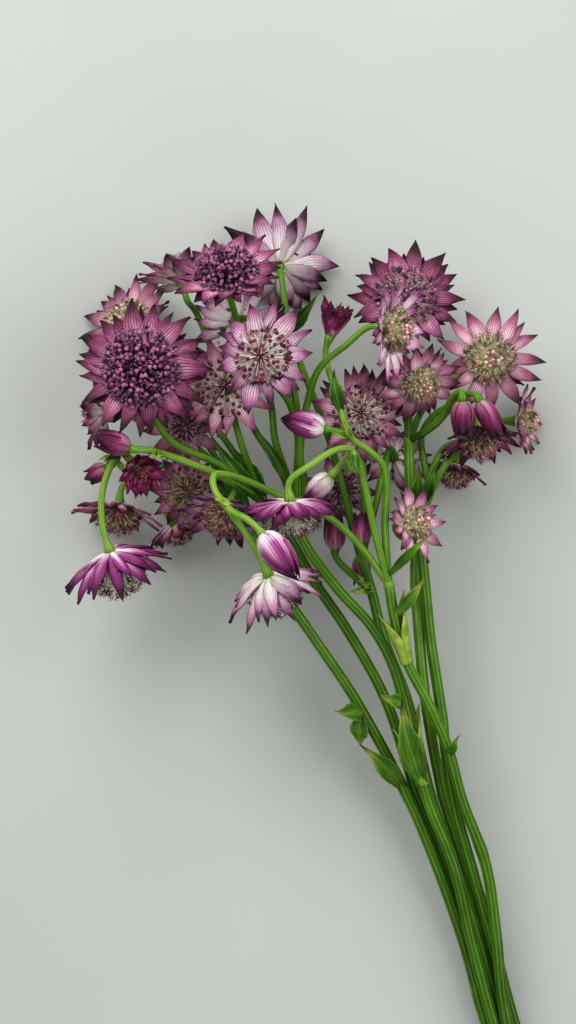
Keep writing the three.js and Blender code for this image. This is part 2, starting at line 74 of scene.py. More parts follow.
# Leaves, leaflets and sheaths
LEAF_TEETH = 7
TOOTH_DEPTH = 0.12
TOOTHED_FROM = 0.4
LEAF_RIPPLE = 0.2
LEAF_FULLNESS = 0.9
LEAF_THICKNESS = 0.5
LEAF_HOOK = 0.4
LEAF_HOLLOW = 0.42
LEAF_BOW_SHARE = 0.12
SHADED_ABOVE = 500
LEAFLETS = 3
LEAFLET_LENGTH = 7
LEAFLET_LENGTH_SPREAD = 1.5
LEAFLET_WIDTH = 2.6
SHEATH_SHARES = (0, 0.3, 0.6, 0.85, 1)
SHEATH_SWELLS = (1.04, 1.3, 1.75, 2.0, 2.3)
SHEATH_SPREAD = 3.4
SHEATH_TURNS_AND_REACHES = ((0.4, 1.15), (3.3, 0.9))

# Ruffs of bracts
BRACT_COLUMNS = 4
BRACT_ROWS = 12
BRACT_THICKNESS = 0.28
BRACT_FOOT_REACH = 1.6
BRACT_FOOT_HEIGHT = 0.5
BRACT_WAVE = 0.06
SPINE_STEP = 0.01
BRACT_WIDTH = 0.3
LOWER_BRACT_WIDTH = 0.27
WIDTH_SPREAD = 0.22
TIP_SHARE = 0.97
TIP_SPREAD = 0.07
LOWER_TIP_SHARE = 0.88
LOWER_TIP_SPREAD = 0.09
RAISED_LAYER = 0.05
SUNK_LAYER = -0.03
LOWER_LAYER = -0.05
RAISED_FOOT = 0.25
TIP_LIFT = 0.07
BOW_SPREAD = 0.035
RUFF_HEIGHT = 0.35

# Domes of florets
DOME_RADIUS_SHARE = 0.56
DOME_HEIGHT_SHARE = 0.46
DOME_FOOT_SHARE = 0.3
DOME_FOOT_HEIGHT = 1.1
FAN_ANGLE = math.radians(88)
FAN_FOOT_SHARE = 0.45
FAN_FOOT_HEIGHT = 0.6
FLORET_SIZE = 0.92
USUAL_BRACT_LENGTH = 20
USUAL_FLORET_HEIGHT = 2.0
FLORET_HEIGHTS = {"bead": 1.7}
HEART_SHARE = 0.1
USUAL_FLORET_REACH = 1.03
FLORET_REACH = {"fringe": 1.27, "dusk": 1.1, "brown": 1.1, "green": 0.88}
USUAL_CORE_SHARE = 0.62
CORE_SHARES = {"pin": 0.3, "green": 0.7}
CORE_SINK = 0.4

# Closed buds, as shares of their length and of their half width. A layer has its count of bracts, its
# size, and how far round the bud each bract reaches.
BUD_SHARES = (0, 0.12, 0.32, 0.58, 0.78, 0.92, 1)
SHUT_BUD = (0.5, 0.84, 1.02, 0.9, 0.6, 0.26, 0.06)
OPENING_BUD = (0.5, 0.82, 1.0, 0.95, 0.84, 0.8, 0.86)
BUD_CORE_WIDTH = 0.74
BUD_CORE_LENGTH = 0.42
BUD_CORE_MIDDLE = 0.45
BUD_LAYERS = ((4, 0.86, 2.1), (6, 1.0, 1.6))

# Half widths of the blades at shares of their length, as shares of the greatest half width
BRACT_OUTLINE = (
    (0, 0.18, 0.38, 0.52, 0.66, 0.8, 0.9, 0.96, 1.0),
    (0.42, 0.68, 0.94, 1.0, 0.92, 0.6, 0.3, 0.13, 0.015),
)
LEAF_OUTLINE = ((0, 0.08, 0.25, 0.42, 0.58, 0.74, 0.88, 1.0), (0.4, 0.45, 0.72, 1.0, 0.9, 0.5, 0.2, 0.015))
SHEATH_OUTLINE = ((0, 0.45, 0.65, 0.8, 0.92, 1.0), (1.0, 1.0, 0.72, 0.42, 0.16, 0.02))
BUD_OUTLINE = ((0, 0.15, 0.4, 0.7, 0.88, 0.96, 1.0), (0.7, 0.95, 1.0, 0.82, 0.46, 0.2, 0.02))

# Tones, from the dark end of a skin's colours to the pale end
MIDDLE_TONE = 0.5
LOWER_BRACT_SHADE = 0.15
STEM_TONES = {"green": 0.05, "pale": 0.2}
USUAL_STALK_TONE = 0.42
STALK_FOOT_SHADE = 0.6
STALK_TONES = {
    "m": 0.58, "q": 0.68, "t": 0.62, "v": 0.6, "x": 0.55, "bud_l": 0.6, "bud_u": 0.58, "bud_w": 0.62,
}
HEAD_TONES = {
    "a": 0.25, "ab": -0.15, "ac": 0.2, "ai": 0.4, "b": -0.35, "d": -0.15, "f": 0.45, "i": -0.3,
    "m": 0.35, "o": 0.45, "t": 0.15, "x": 0.3, "z": 0.5,
}
USUAL_BUD_TONE = 0.35
BUD_TONES = {"ad": 0.05, "ae": 0.1, "h": 0.3, "u": 0.75, "w": 0.3}
BUD_COLOURS = {"h": "magenta", "u": "magenta", "w": "blush"}
CORE_TONE = 0.4
BUD_CORE_TONE = 0.3
SHADED_LEAF_TONE = 0.1
SUNLIT_LEAF_TONE = 0.6

# Numbers of the finishes on florets, on stems and on buds
STALKLET_FINISH, BODY_FINISH, TEETH_FINISH, POLLEN_FINISH, MIDDLE_FINISH = range(5)
STEM_FINISH, CUT_FINISH, SHEATH_FINISH = range(3)
BUD_CORE_FINISH = 2


def named(fields, rows):
    """The rows of a table, each with its fields by name; a row may end early."""
    return [dict(zip(fields, row)) for row in rows]


# Each head: its name, its hub, the way it faces, how long its bracts are, how far they cup, in degrees,
# how many reach its rim, the colour of its ruff, and that of its dome where it is a solid of its own.
HEAD_FIELDS = ("name", "hub", "facing", "length", "cup", "bracts", "ruff", "dome")
HEADS = named(HEAD_FIELDS, [
    ("a", (229, 286, 60), (-0.12, 0.76, 0.62), 21, 16, 13, "plum", "florets"),
    ("e", (144, 371, 60), (-0.1, 0.1, 0.98), 24, 8, 14, "plum", "florets"),
    ("f", (226, 385, 48), (0.05, -0.25, 0.96), 19, 8, 13, "rose", "florets"),
    ("g", (258, 357, 65), (0.45, -0.1, 0.88), 20, 15, 13, "blush", "florets"),
    ("q", (110, 550, 48), (0.31, -0.9, -0.28), 22, 26, 13, "magenta", "maroon"),
    ("t", (268, 574, 60), (0.36, -0.82, -0.42), 20, 28, 13, "pale", "florets"),
    ("v", (290, 500, 62), (0.05, -0.96, -0.22), 18, 16, 13, "magenta", "maroon"),
    ("y", (408, 297, 24), (0, 0.15, 0.98), 20, 8, 14, "plum", "florets"),
    ("z", (384, 330, 60), (0.85, -0.1, 0.5), 18, 15, 13, "blush", "palegreen"),
    ("aa", (418, 379, 43), (0.3, -0.5, 0.8), 15, 10, 13, "rose", "palegreen"),
    ("ab", (490, 357, 32), (0.1, -0.05, 0.99), 19, 6, 13, "rose", "palegreen"),
    ("af", (360, 412, 36), (0.1, -0.15, 0.97), 18, 8, 13, "rose", "florets"),
    ("b", (279, 262, 13.2), (-0.1, 0.4, -0.87), 22, 16, 12, "pale"),
    ("c", (182, 282, 32), (-0.2, 0.8, -0.3), 17, 18, 12, "rose"),
    ("d", (128, 322, 9.9), (-0.5, 0.5, 0.7), 19, 10, 13, "rose"),
    ("i", (236, 322, 42), (0.1, -0.2, -0.97), 17, 10, 10, "pale"),
    ("j", (185, 425, 34), (0, -0.3, 0.9), 15, 12, 10, "rose"),
    ("k", (105, 411, 30), (-0.7, 0.1, -0.3), 14, 12, 9, "rose"),
    ("o", (116, 503, 13.8), (-0.15, -0.9, 0.2), 17, 18, 10, "rose"),
    ("p", (171, 523, 10.6), (0.4, -0.75, -0.2), 12, 20, 9, "plum"),
    ("r", (228, 506, 42), (-0.3, -0.75, 0.5), 17, 22, 10, "blush"),
    ("s", (188, 490, 25), (-0.3, -0.2, 0.93), 15, 8, 10, "rose"),
    ("ac", (520, 419, 9.9), (0.95, 0, 0.3), 14, 22, 10, "rose"),
    ("ad", (480, 429, 34), (0.1, -0.9, 0.4), 16, 24, 12, "plum"),
    ("ae", (461, 462, 11.6), (-0.2, -0.9, 0.1), 13, 20, 10, "plum"),
    ("ag", (395, 456, 18), (0.2, -0.5, -0.8), 14, 12, 9, "rose"),
    ("ah", (344, 487, 15), (0, -0.3, 0.9), 14, 12, 9, "rose"),
    ("ai", (409, 524, 40), (0.7, 0.1, 0.65), 14, 15, 10, "rose"),
    ("m", (138, 468, 58), (0.25, -0.35, 0.9), 12, 50, 10, "maroon"),
    ("x", (330, 336, 50), (0.25, 0.9, 0.3), 12, 62, 10, "maroon"),
])

# Each closed bud: its name, its base, its tip, its width and its colour.
BUDS = named(("name", "base", "tip", "width", "colour"), [
    ("h", (323, 429, 56), (282, 419, 58), 9, "magenta"),
    ("l", (130, 448, 59), (98, 438, 62), 8, "maroon"),
    ("n", (106, 468, 44), (88, 478, 42), 6, "maroon"),
    ("u", (264, 535, 76), (297, 575, 82), 10, "blush"),
    ("w", (330, 476, 47), (305, 500, 45), 7, "blush"),
    ("ad", (461, 402, 54), (463, 436, 53), 8, "maroon"),
    ("ae", (479, 402, 50), (500, 437, 51), 7, "maroon"),
    ("aj", (336, 549, 24), (334, 516, 26), 7, "maroon"),
    ("ak", (362, 543, 36), (361, 513, 36), 6, "maroon"),
    ("al", (363, 556, 14), (363, 585, 12), 6, "maroon"),
])

# Each stem: its way up from the cut end; its side stalks, with the flower that each one holds, its bends
# and the place where it leaves, unless that is the top of the stem; its leaves, with root, tip and width;
# and its sheaths, from foot to top.
STEMS = [
    {
        "name": "left",
        "colour": "green",
        "path": [
            (582, 1338, 5.9), (540, 1200, 6.4), (487.5, 1024, 9.6), (467, 950, 12.5), (439, 871, 16),
            (409, 800, 19), (355, 700, 24), (325, 655, 26), (296, 613, 27), (270, 576, 27),
        ],
        "branches": [
            ("r", [(254, 530, 23), (238, 482, 26)]),
            ("s", [(245, 510, 22), (222, 480, 19)]),
            ("o", [(240, 510, 20), (195, 470, 17), (140, 468, 11)]),
            ("p", [(242, 512, 17), (188, 484, 14)]),
            ("j", [(240, 500, 22), (200, 435, 20)]),
            ("k", [(205, 455, 20), (150, 425, 28)]),
        ],
        "leaves": [
            ((362, 712, 24), (339, 722, 27), 8),
            ((364, 717, 23), (354, 748, 22), 8),
            ((406, 794, 19.5), (368, 742, 25), 8),
        ],
    },
    {
        "name": "second",
        "colour": "green",
        "path": [
            (590, 1345, 1.5), (572, 1285, 1.5), (547.2, 1200, 2.3), (494.7, 1024, 5.4), (474, 950, 8),
            (450, 871, 12.5), (420, 800, 16), (386, 700, 22), (345, 627, 26), (315, 583, 27),
            (290, 540, 27), (262, 500, 31),
        ],
        "branches": [
            ("e", [(220, 465, 44), (170, 440, 47), (150, 405, 50)]),
            ("d", [(225, 440, 22), (150, 350, 6)]),
            ("q", [
                (212, 472, 48), (195, 465, 50), (145.5, 450, 50), (120, 453, 51), (109, 472, 52),
                (102.5, 497, 52),
            ]),
            ("bud_l", [(150, 450, 55)], (160, 454, 50)),
            ("m", [], (124, 453, 51)),
            ("bud_n", [(114, 461, 48)], (117, 458, 51)),
            ("f", [(240, 440, 40)]),
        ],
        "leaves": [
            ((266, 506, 30.4), (203, 438, 42), 7),
            ((266, 506, 30.4), (242, 446, 29), 7),
            ((121, 453, 51), (104, 458, 56), 4),
        ],
    },
    {
        "name": "front",
        "colour": "green",
        "path": [
            (586.7, 1330, 10), (547.2, 1200, 10.5), (494.7, 1024, 13.8), (475, 950, 17), (456, 871, 22),
            (428, 800, 26), (404, 700, 31), (392, 662, 33), (372, 627, 35), (341, 593, 36),
            (311, 554, 34), (298, 530, 33),
        ],
        "branches": [
            ("a", [(288, 480, 36), (275, 440, 42), (270, 400, 42), (245, 345, 48)]),
            ("g", [(300, 480, 36), (298, 440, 44), (290, 405, 49), (272, 382, 57)]),
            ("c", [(285, 480, 34), (255, 430, 30), (225, 380, 24), (195, 310, 28)]),
            ("z", [(305, 485, 36), (300, 455, 46), (308, 400, 50), (320, 368, 54), (345, 347, 58)]),
            ("i", [(297, 480, 36), (298, 430, 44), (290, 375, 51), (262, 325, 52)]),
        ],
        "leaves": [
            ((289, 484, 35.5), (259, 424, 46), 5),
            ((424, 786, 27), (390, 705, 38), 11),
            ((404, 703, 31), (379, 703, 37), 6),
        ],
        "sheaths": [((424.5, 788, 26.7), (408, 720, 30))],
    },
    {
        "name": "arc",
        "colour": "green",
        "path": [
            (607.3, 1350, 10), (561.7, 1200, 10.6), (509.3, 1024, 14), (500, 943, 17.8), (489, 871, 22),
            (463, 800, 28), (450, 752, 31), (427, 700, 35), (408, 664, 39), (395, 620, 42),
            (389, 585, 44),
        ],
        "branches": [
            ("t", [
                (361, 547, 46), (330, 518, 42), (305, 507, 40), (278, 495, 41), (250, 482, 48),
                (228, 475, 56), (215, 475, 61), (214, 485, 64), (220, 498, 66), (243, 528, 66),
            ]),
            ("bud_u", [(232, 511, 69), (248, 519, 74)], (220, 498, 66)),
            ("v", [(374, 530, 50), (361, 474, 56), (352, 451, 59), (337, 450, 62), (310, 466, 66)]),
            ("bud_w", [(350, 455, 55)], (353, 455, 59)),
            ("x", [(385, 530, 47), (384, 468, 52), (370, 452, 54), (350, 437, 54), (338, 400, 52)]),
            ("bud_h", [(345, 434, 56)], (350, 437, 54)),
        ],
        "leaves": [
            ((388, 576, 44.5), (429, 529, 54), 4),
            ((394, 616, 42.2), (429, 581, 46), 5),
            ((451, 757, 30.8), (456, 735, 36), 4),
            ((354, 452, 58.5), (354, 478, 62), 4),
            ((341, 412, 52.5), (327, 372, 56), 6),
        ],
        "sheaths": [((408, 664, 39), (392, 604, 43))],
    },
    {
        "name": "right",
        "colour": "green",
        "path": [
            (610.3, 1336, 6), (569, 1200, 6.6), (516.5, 1024, 9.9), (497, 950, 13), (474, 871, 18.5),
            (455, 800, 23), (441, 700, 27), (432, 640, 28), (423, 555, 30), (412, 491, 30),
            (410, 440, 30),
        ],
        "branches": [
            ("aa", [(410, 415, 33)]),
            ("ab", [(430, 400, 24)]),
            ("y", [(406, 360, 20)]),
            ("bud_ad", [(428, 430, 36), (441, 419, 40), (452, 398, 49)]),
            ("bud_ae", [(428, 430, 36), (441, 419, 40), (462, 396, 47)]),
        ],
        "leaves": [
            ((414, 508, 30), (426, 466, 38), 6),
        ],
    },
    {
        "name": "thin",
        "colour": "pale",
        "path": [
            (601.6, 1332, 1.5), (587, 1285, 1.5), (561.5, 1200, 2.3), (509.2, 1024, 5.5), (489, 950, 8.3),
            (468, 871, 13), (446, 800, 17), (427, 700, 25), (421, 640, 26), (417, 580, 24),
            (418, 540, 22),
        ],
        "branches": [
            ("ad", [(430, 490, 26), (424, 432, 24), (448, 406, 26)]),
            ("ac", [(430, 500, 26), (446, 466, 29), (480, 430, 16)]),
            ("ae", [(427, 490, 26), (444, 450, 27)]),
            ("ai", [(400, 535, 32)]),
        ],
        "leaves": [
            ((428, 500, 26.5), (432, 462, 34), 5),
        ],
    },
    {
        "name": "back",
        "colour": "green",
        "path": [
            (597.7, 1342, 6), (554.5, 1200, 6.4), (502, 1024, 9.6), (482, 950, 12.5), (457, 871, 17),
            (433, 800, 20), (408, 700, 23), (385, 640, 24), (372, 590, 24), (362, 560, 25),
        ],
        "branches": [
            ("b", [(330, 440, 26), (290, 330, 24)]),
            ("af", [(365, 500, 32), (362, 450, 28)]),
            ("ag", [(378, 500, 28)]),
            ("ah", [(352, 522, 10)]),
            ("bud_aj", [], (372, 592, 24)),
            ("bud_ak", [], (371, 588, 24)),
            ("bud_al", [(361, 545, 20)]),
        ],
        "leaves": [
            ((287, 330, 24), (322, 298, 32), 6),
        ],
    },
]
BRANCH_FIELDS = ("to", "bends", "from")

# The looks of each head: its floret kind, how many florets, how wide its bracts are, how many of the
# gaps between them show a second, lower bract, and how far they bow as a share of their length.
HEAD_LOOKS = {
    "a": ("bead", 240, 0.92, 1.0, 0.03),
    "e": ("bead", 330, 0.86, 1.0, 0.04),
    "f": ("pin", 84, 0.86, 0.5, 0.03),
    "g": ("pin", 100, 0.95, 0.5, 0.03),
    "q": ("fringe", 140, 0.8, 0.9, -0.06),
    "t": ("fringe", 140, 0.72, 0.9, -0.07),
    "v": ("fringe", 140, 0.84, 0.9, -0.05),
    "y": ("star", 190, 0.95, 1.0, 0.03),
    "z": ("green", 150, 0.84, 0.5, 0.02),
    "aa": ("green", 140, 0.9, 0.8, 0.02),
    "ab": ("green", 170, 0.78, 0.3, 0.02),
    "af": ("pin", 96, 0.88, 0.5, 0.03),
    "b": ("star", 50, 0.96, 0.6, -0.02),
    "c": ("star", 60, 0.95, 0.7, 0.02),
    "d": ("green", 96, 0.9, 0.8, 0.03),
    "o": ("brown", 90, 0.85, 0.8, -0.03),
    "p": ("brown", 70, 0.85, 0.8, -0.03),
    "r": ("brown", 110, 0.85, 0.8, -0.02),
    "s": ("brown", 90, 0.9, 0.8, 0.02),
    "ac": ("green", 80, 0.9, 0.7, 0.02),
    "ad": ("brown", 80, 0.8, 0.8, -0.05),
    "ae": ("brown", 70, 0.8, 0.8, -0.05),
    "ai": ("green", 96, 0.9, 0.7, 0.02),
    "m": ("dusk", 60, 1.2, 1.0, -0.06),
    "x": ("dusk", 50, 1.4, 1.0, -0.06),
}
USUAL_LOOK = ("star", 72, 0.9, 0.7, 0.02)

# Bract colours from base to tip, for the upper side and for the underside, then the vein and the streak
BRACT_COLOURS = {
    "plum": (
        {0.0: 0x6F2147, 0.25: 0xDCAFC1, 0.48: 0xC586A0, 0.66: 0x9E597A, 0.82: 0x63354A, 0.94: 0x2A1C1E},
        {0.0: 0x9EA878, 0.2: 0xDFC3CA, 0.48: 0xC187A0, 0.68: 0x934F72, 0.82: 0x5E364A, 0.94: 0x2A1C1E},
        0x5E1A40, 0xF0DEE4,
    ),
    "rose": (
        {0.0: 0xA8647A, 0.25: 0xF2D2D9, 0.5: 0xDFB1BF, 0.7: 0xB0728A, 0.85: 0x6F4152, 0.96: 0x362A2A},
        {0.0: 0xAEBC88, 0.2: 0xE6D8D8, 0.5: 0xDCB8C4, 0.7: 0xAA6E8B, 0.85: 0x6D4253, 0.96: 0x362A2A},
        0x803C63, 0xFAF0F0,
    ),
    "blush": (
        {0.0: 0xE2DAC8, 0.3: 0xF4E8E6, 0.58: 0xE2BECA, 0.76: 0xAC6C92, 0.88: 0x5E3450, 0.97: 0x36262C},
        {0.0: 0xBCC898, 0.25: 0xEEE6E4, 0.58: 0xDAB8C6, 0.76: 0xA0688C, 0.88: 0x5A3250, 0.97: 0x36262C},
        0x803C6E, 0xFFFAF8,
    ),
    "magenta": (
        {0.0: 0xE0DACA, 0.14: 0xC082AC, 0.4: 0x9C387A, 0.76: 0x782A5E, 0.9: 0x4A1C40, 0.98: 0x38142E},
        {0.0: 0xC9D2A4, 0.12: 0xE2C6D2, 0.32: 0xAE4890, 0.74: 0x8A2E70, 0.9: 0x521E4A, 0.98: 0x38142E},
        0x4C123C, 0xFFF6FA,
    ),
    "pale": (
        {0.0: 0xD2D8B6, 0.3: 0xE0CFD3, 0.55: 0xCA9CB6, 0.75: 0x874771, 0.88: 0x48243E, 0.97: 0x281A22},
        {0.0: 0xB4C28E, 0.2: 0xE8E4D8, 0.5: 0xE0D2D6, 0.74: 0xB48CA0, 0.88: 0x66405C, 0.97: 0x2A1C24},
        0x874071, 0xFCF8F4,
    ),
    "maroon": (
        {0.0: 0x8A4C5C, 0.4: 0xA83E6C, 0.72: 0x802652, 0.9: 0x44142C, 1.0: 0x42182E},
        {0.0: 0x98A468, 0.18: 0xB06A8A, 0.5: 0x902E62, 0.86: 0x4A1838, 1.0: 0x42182E},
        0x3E0C28, 0xD89CB8,
    ),
}
UPPER_VEIN_STRENGTH = 0.9
UNDERSIDE_VEIN_STRENGTH = 0.7

# Floret colours, in the order of the parts below; the near-black dome middle of the bead heads is painted
# shade in the gaps between their florets
FLORET_COLOURS = {
    "bead": (0x582E4A, 0x8E5878, 0x6C3E5C, 0xA884A0, 0x2A101E),
    "pin": (0xE4DCC8, 0xB4949A, 0x6E2A46, 0x7C4258, 0x5A2438),
    "star": (0xC4A8AE, 0xBA9AA4, 0x8A5A70, 0x6E3C54, 0x6A4456),
    "brown": (0xB4B088, 0xB8988E, 0x8A4A64, 0x94687A, 0x746050),
    "fringe": (0xE4EACC, 0xDCE2B8, 0x8A3C60, 0x6C3450, 0x9CAA70),
    "green": (0xDCE2B4, 0xD0DC98, 0xC49C92, 0x965E6C, 0xACAC8C),
    "dusk": (0x7C4C50, 0x925A64, 0x5E1C34, 0x9A7468, 0x4C242E),
}
FLORET_PARTS = ("stalklet", "floret_body", "floret_teeth", "pollen", "dome_middle")
SHADES = {0.1: 0.5, 0.5: 1.0, 0.95: 1.3}

# Colours of the green parts, each at its share of the way from dark to pale
STEM_GREENS = {0.0: 0x224200, 0.3: 0x48760E, 0.6: 0x78A238, 1.0: 0xBECB74}
# Painted highlight: the pale green laid along the tops of the stem's ribs
RIB_HIGHLIGHT_GREEN = 0x9CBC58
CUT_GREENS = {0.2: 0x8FAE62, 0.6: 0xC3CF98, 0.9: 0xE0E4C4}
SHEATH_GREENS = {0.2: 0x5C7A20, 0.45: 0x80A038, 0.65: 0xA4B452, 0.95: 0xA08440}
LEAF_GREENS = {0.25: 0x22460C, 0.5: 0x467618, 0.75: 0x7CA034}
LEAF_UNDERSIDE_GREENS = {0.2: 0x446428, 0.6: 0x648640, 0.9: 0x86A058}
LEAF_VEIN_GREEN = 0x8CA456
LEAF_YELLOW = 0xB0A448
LEAF_BROWN = 0x2A201A
FLOOR_GREYS = {0.3: 0xB2B5B1, 0.7: 0xBABDB9}

# How the veins and the streaks are drawn
BRACT_VEINS = 7
VEIN_NET = (8.0, 14.0, 1.0)
TIP_START = 0.78
LEAF_SIDE_VEINS = 7.0
LEAF_VEIN_SLANT = 5.0
LEAF_BROWN_START = 0.88


def place(point):
    """A place on the picture plane with its height, as a point of the frame in millimetres."""
    across, down, height = point
    x = (across - PICTURE_MIDDLE[0]) / PICTURE_UNITS_PER_MM
    y = (PICTURE_MIDDLE[1] - down) / PICTURE_UNITS_PER_MM
    return Vector((x, y, height))


def draw(first, second):
    """A repeatable draw between -1 and 1 from two whole numbers."""
    wave = math.sin(first * 12.9898 + second * 78.233) * 43758.5453
    return 2 * (wave - math.floor(wave)) - 1


def name_number(name):
    """A whole number made from the letters of a name."""
    total = 0
    for letter in name:
        total = total * 3 + ord(letter)
    return total


def facing_matrix(facing, foot):
    """Turns +Z to the facing direction and moves the origin to the foot."""
    turn = Vector((0, 0, 1)).rotation_difference(Vector(facing).normalized())
    return Matrix.Translation(foot) @ turn.to_matrix().to_4x4()


def moved(points, matrix):
    """Points after a turn and a move."""
    grid = np.array(matrix)
    return points @ grid[:3, :3].T + grid[:3, 3]


def linear(hex_colour):
    """A hex screen colour as linear red, green, blue and alpha."""
    channels = []
    for shift in (16, 8, 0):
        channel = ((hex_colour >> shift) & 255) / 255
        channels.append(channel / 12.92 if channel <= 0.04045 else ((channel + 0.055) / 1.055) ** 2.4)
    return channels + [1.0]


def shades(hex_colour):
    """Stops for a mottled skin round one colour, from darker to lighter."""
    stops = {}
    for position, light in SHADES.items():
        red, green, blue = [min(255, int(((hex_colour >> shift) & 255) * light)) for shift in (16, 8, 0)]
        stops[position] = red * 65536 + green * 256 + blue
    return stops


class Recipe:
    """One material and the shader nodes that are added to it."""

    def __init__(self, name, roughness, subsurface=0.0):
        self.material = bpy.data.materials.new(name)
        self.material.use_nodes = True
        self.tree = self.material.node_tree
        self.shader = self.tree.nodes["Principled BSDF"]
        self.shader.inputs["Roughness"].default_value = roughness
        self.shader.inputs["Specular IOR Level"].default_value = 0.28
        self.shader.inputs["Subsurface Weight"].default_value = subsurface
        self.shader.inputs["Subsurface Radius"].default_value = (0.002, 0.001, 0.001)
        self.shader.inputs["Subsurface Scale"].default_value = 0.6

    def give(self, socket, value):
        """Wires a value that is worked out to a socket, or sets a plain one on it."""
        if isinstance(value, bpy.types.NodeSocket):
            self.tree.links.new(value, socket)
        else:
            socket.default_value = value

    def node(self, kind, settings, inputs):
        made = self.tree.nodes.new(kind)
        for key, value in settings.items():
            setattr(made, key, value)
        for key, value in inputs.items():
            self.give(made.inputs[key], value)
        return made

    def maths(self, operation, first, second=0.0, clamp=False):
        settings = {"operation": operation, "use_clamp": clamp}
        return self.node("ShaderNodeMath", settings, {0: first, 1: second}).outputs[0]

    def plus(self, first, second):
        return self.maths("ADD", first, second)

    def minus(self, first, second, clamp=False):
        return self.maths("SUBTRACT", first, second, clamp)

    def times(self, first, second, clamp=False):
        return self.maths("MULTIPLY", first, second, clamp)

    def scaled(self, value, factor, shift):
        """A value times a factor, and shifted."""
        settings = {"operation": "MULTIPLY_ADD"}
        return self.node("ShaderNodeMath", settings, {0: value, 1: factor, 2: shift}).outputs[0]

    def brightened(self, colour, value):
        return self.node("ShaderNodeHueSaturation", {}, {"Value": value, "Color": colour}).outputs[0]

    def ramp(self, factor, stops):
        """The colour at a share of the way through a set of stops."""
        made = self.node("ShaderNodeValToRGB", {}, {0: factor})
        band = made.color_ramp
        while len(band.elements) < len(stops):
            band.elements.new(0.5)
        for element, (position, hex_colour) in zip(band.elements, stops.items()):
            element.position = position
            element.color = linear(hex_colour)
        return made.outputs[0]

    def mix(self, factor, colour, hex_colour):
        """A colour that gives way to another."""
        inputs = {0: factor, 6: colour, 7: linear(hex_colour)}
        return self.node("ShaderNodeMix", {"data_type": "RGBA"}, inputs).outputs[2]

    def blade_place(self):
        """Places on the blade's own map, and how far they are across and along it, from 0 to 1."""
        uv = self.node("ShaderNodeUVMap", {"uv_map": "Blade"}, {}).outputs[0]
        parts = self.node("ShaderNodeSeparateXYZ", {}, {0: uv}).outputs
        return uv, parts[0], parts[1]

    def off_middle(self, across):
        """How far a place is from the blade's middle line, from 0 to a half."""
        return self.maths("ABSOLUTE", self.minus(across, 0.5))

    def stretched(self, uv, scale):
        """The blade's own map, drawn out."""
        return self.node("ShaderNodeMapping", {}, {"Vector": uv, "Scale": scale}).outputs[0]

    def streaks(self, uv, scale):
        """Soft streaks that run along the blade."""
        inputs = {"Vector": self.stretched(uv, scale), "Scale": 1.0}
        return self.node("ShaderNodeTexNoise", {}, inputs).outputs[0]

    def grain(self, scale, detail=2.0):
        """A fine grain through the whole piece."""
        coordinates = self.node("ShaderNodeTexCoord", {}, {})
        inputs = {"Vector": coordinates.outputs["Object"], "Scale": scale, "Detail": detail}
        return self.node("ShaderNodeTexNoise", {}, inputs).outputs[0]

    def tone(self):
        """Where each leaf, bract or floret stands between the dark and the pale ones."""
        return self.node("ShaderNodeAttribute", {"attribute_name": "tone"}, {}).outputs[2]

    def finish(self, colour, height=None, strength=0.3):
        """Sets the colour, and a low relief where a height is given."""
        self.tree.links.new(colour, self.shader.inputs["Base Color"])
        if height is not None:
            inputs = {"Strength": strength, "Distance": 0.0003, "Height": height}
            bump = self.node("ShaderNodeBump", {}, inputs)
            self.tree.links.new(bump.outputs[0], self.shader.inputs["Normal"])
        return self.material


def bract_veins(recipe, uv, across, along, uneven):
    """Lines that run along a bract, and a finer net that joins them towards its tip."""
    wandering = recipe.plus(across, recipe.times(uneven, 0.07))
    wave = recipe.maths("COSINE", recipe.times(wandering, math.tau * BRACT_VEINS))
    lines = recipe.maths("POWER", recipe.scaled(wave, 0.5, 0.5), 2.8)
    settings = {"feature": "DISTANCE_TO_EDGE", "voronoi_dimensions": "2D"}
    inputs = {"Vector": recipe.stretched(uv, VEIN_NET), "Scale": 1.0}
    cells = recipe.node("ShaderNodeTexVoronoi", settings, inputs).outputs[0]
    net = recipe.minus(1.0, recipe.times(cells, 8.0), True)
    return recipe.maths("MAXIMUM", lines, recipe.times(net, recipe.times(along, 0.8)))


def veined_bract(name, stops, vein, streak, vein_strength):
    """A papery bract: its colour runs from base to dark tip under veins, with a pale streak at its middle."""
    recipe = Recipe(name, 0.55, 0.1)
    uv, across, along = recipe.blade_place()
    tone = recipe.tone()
    uneven = recipe.minus(recipe.grain(420.0), 0.5)
    run = recipe.plus(along, recipe.times(uneven, 0.22))
    run = recipe.minus(run, recipe.scaled(tone, 0.16, -0.08))
    centred = recipe.off_middle(across)
    narrowing = recipe.times(centred, recipe.scaled(along, 5.0, 2.2))
    fade = recipe.minus(1.5, recipe.times(along, 1.9), True)
    wash = recipe.times(recipe.minus(1.15, narrowing, True), fade)
    wash = recipe.times(wash, recipe.scaled(tone, 1.1, 0.0))
    streaked = recipe.mix(wash, recipe.ramp(run, stops), streak)
    veins = bract_veins(recipe, uv, across, along, uneven)
    growing = recipe.times(recipe.scaled(along, 1.2, 0.3), vein_strength)
    veined = recipe.mix(recipe.times(veins, growing, True), streaked, vein)
    rim = recipe.maths("POWER", recipe.times(centred, 2.0), 4.0)
    edged = recipe.mix(recipe.times(rim, 0.55), veined, vein)
    tip = recipe.times(recipe.minus(run, TIP_START), 6.0, True)
    tipped = recipe.mix(tip, edged, list(stops.values())[-1])
    return recipe.finish(recipe.brightened(tipped, recipe.scaled(tone, 0.5, 0.78)), veins, 0.35)


def plain_skin(name, colours, scale, roughness=0.6, mottling=0.7):
    """A mottled skin whose colour runs through its tone, from dark to pale."""
    recipe = Recipe(name, roughness, 0.1)
    grain = recipe.grain(scale)
    spread = recipe.scaled(grain, mottling, -0.5 * mottling)
    return recipe.finish(recipe.ramp(recipe.plus(recipe.tone(), spread), colours), grain, 0.2)


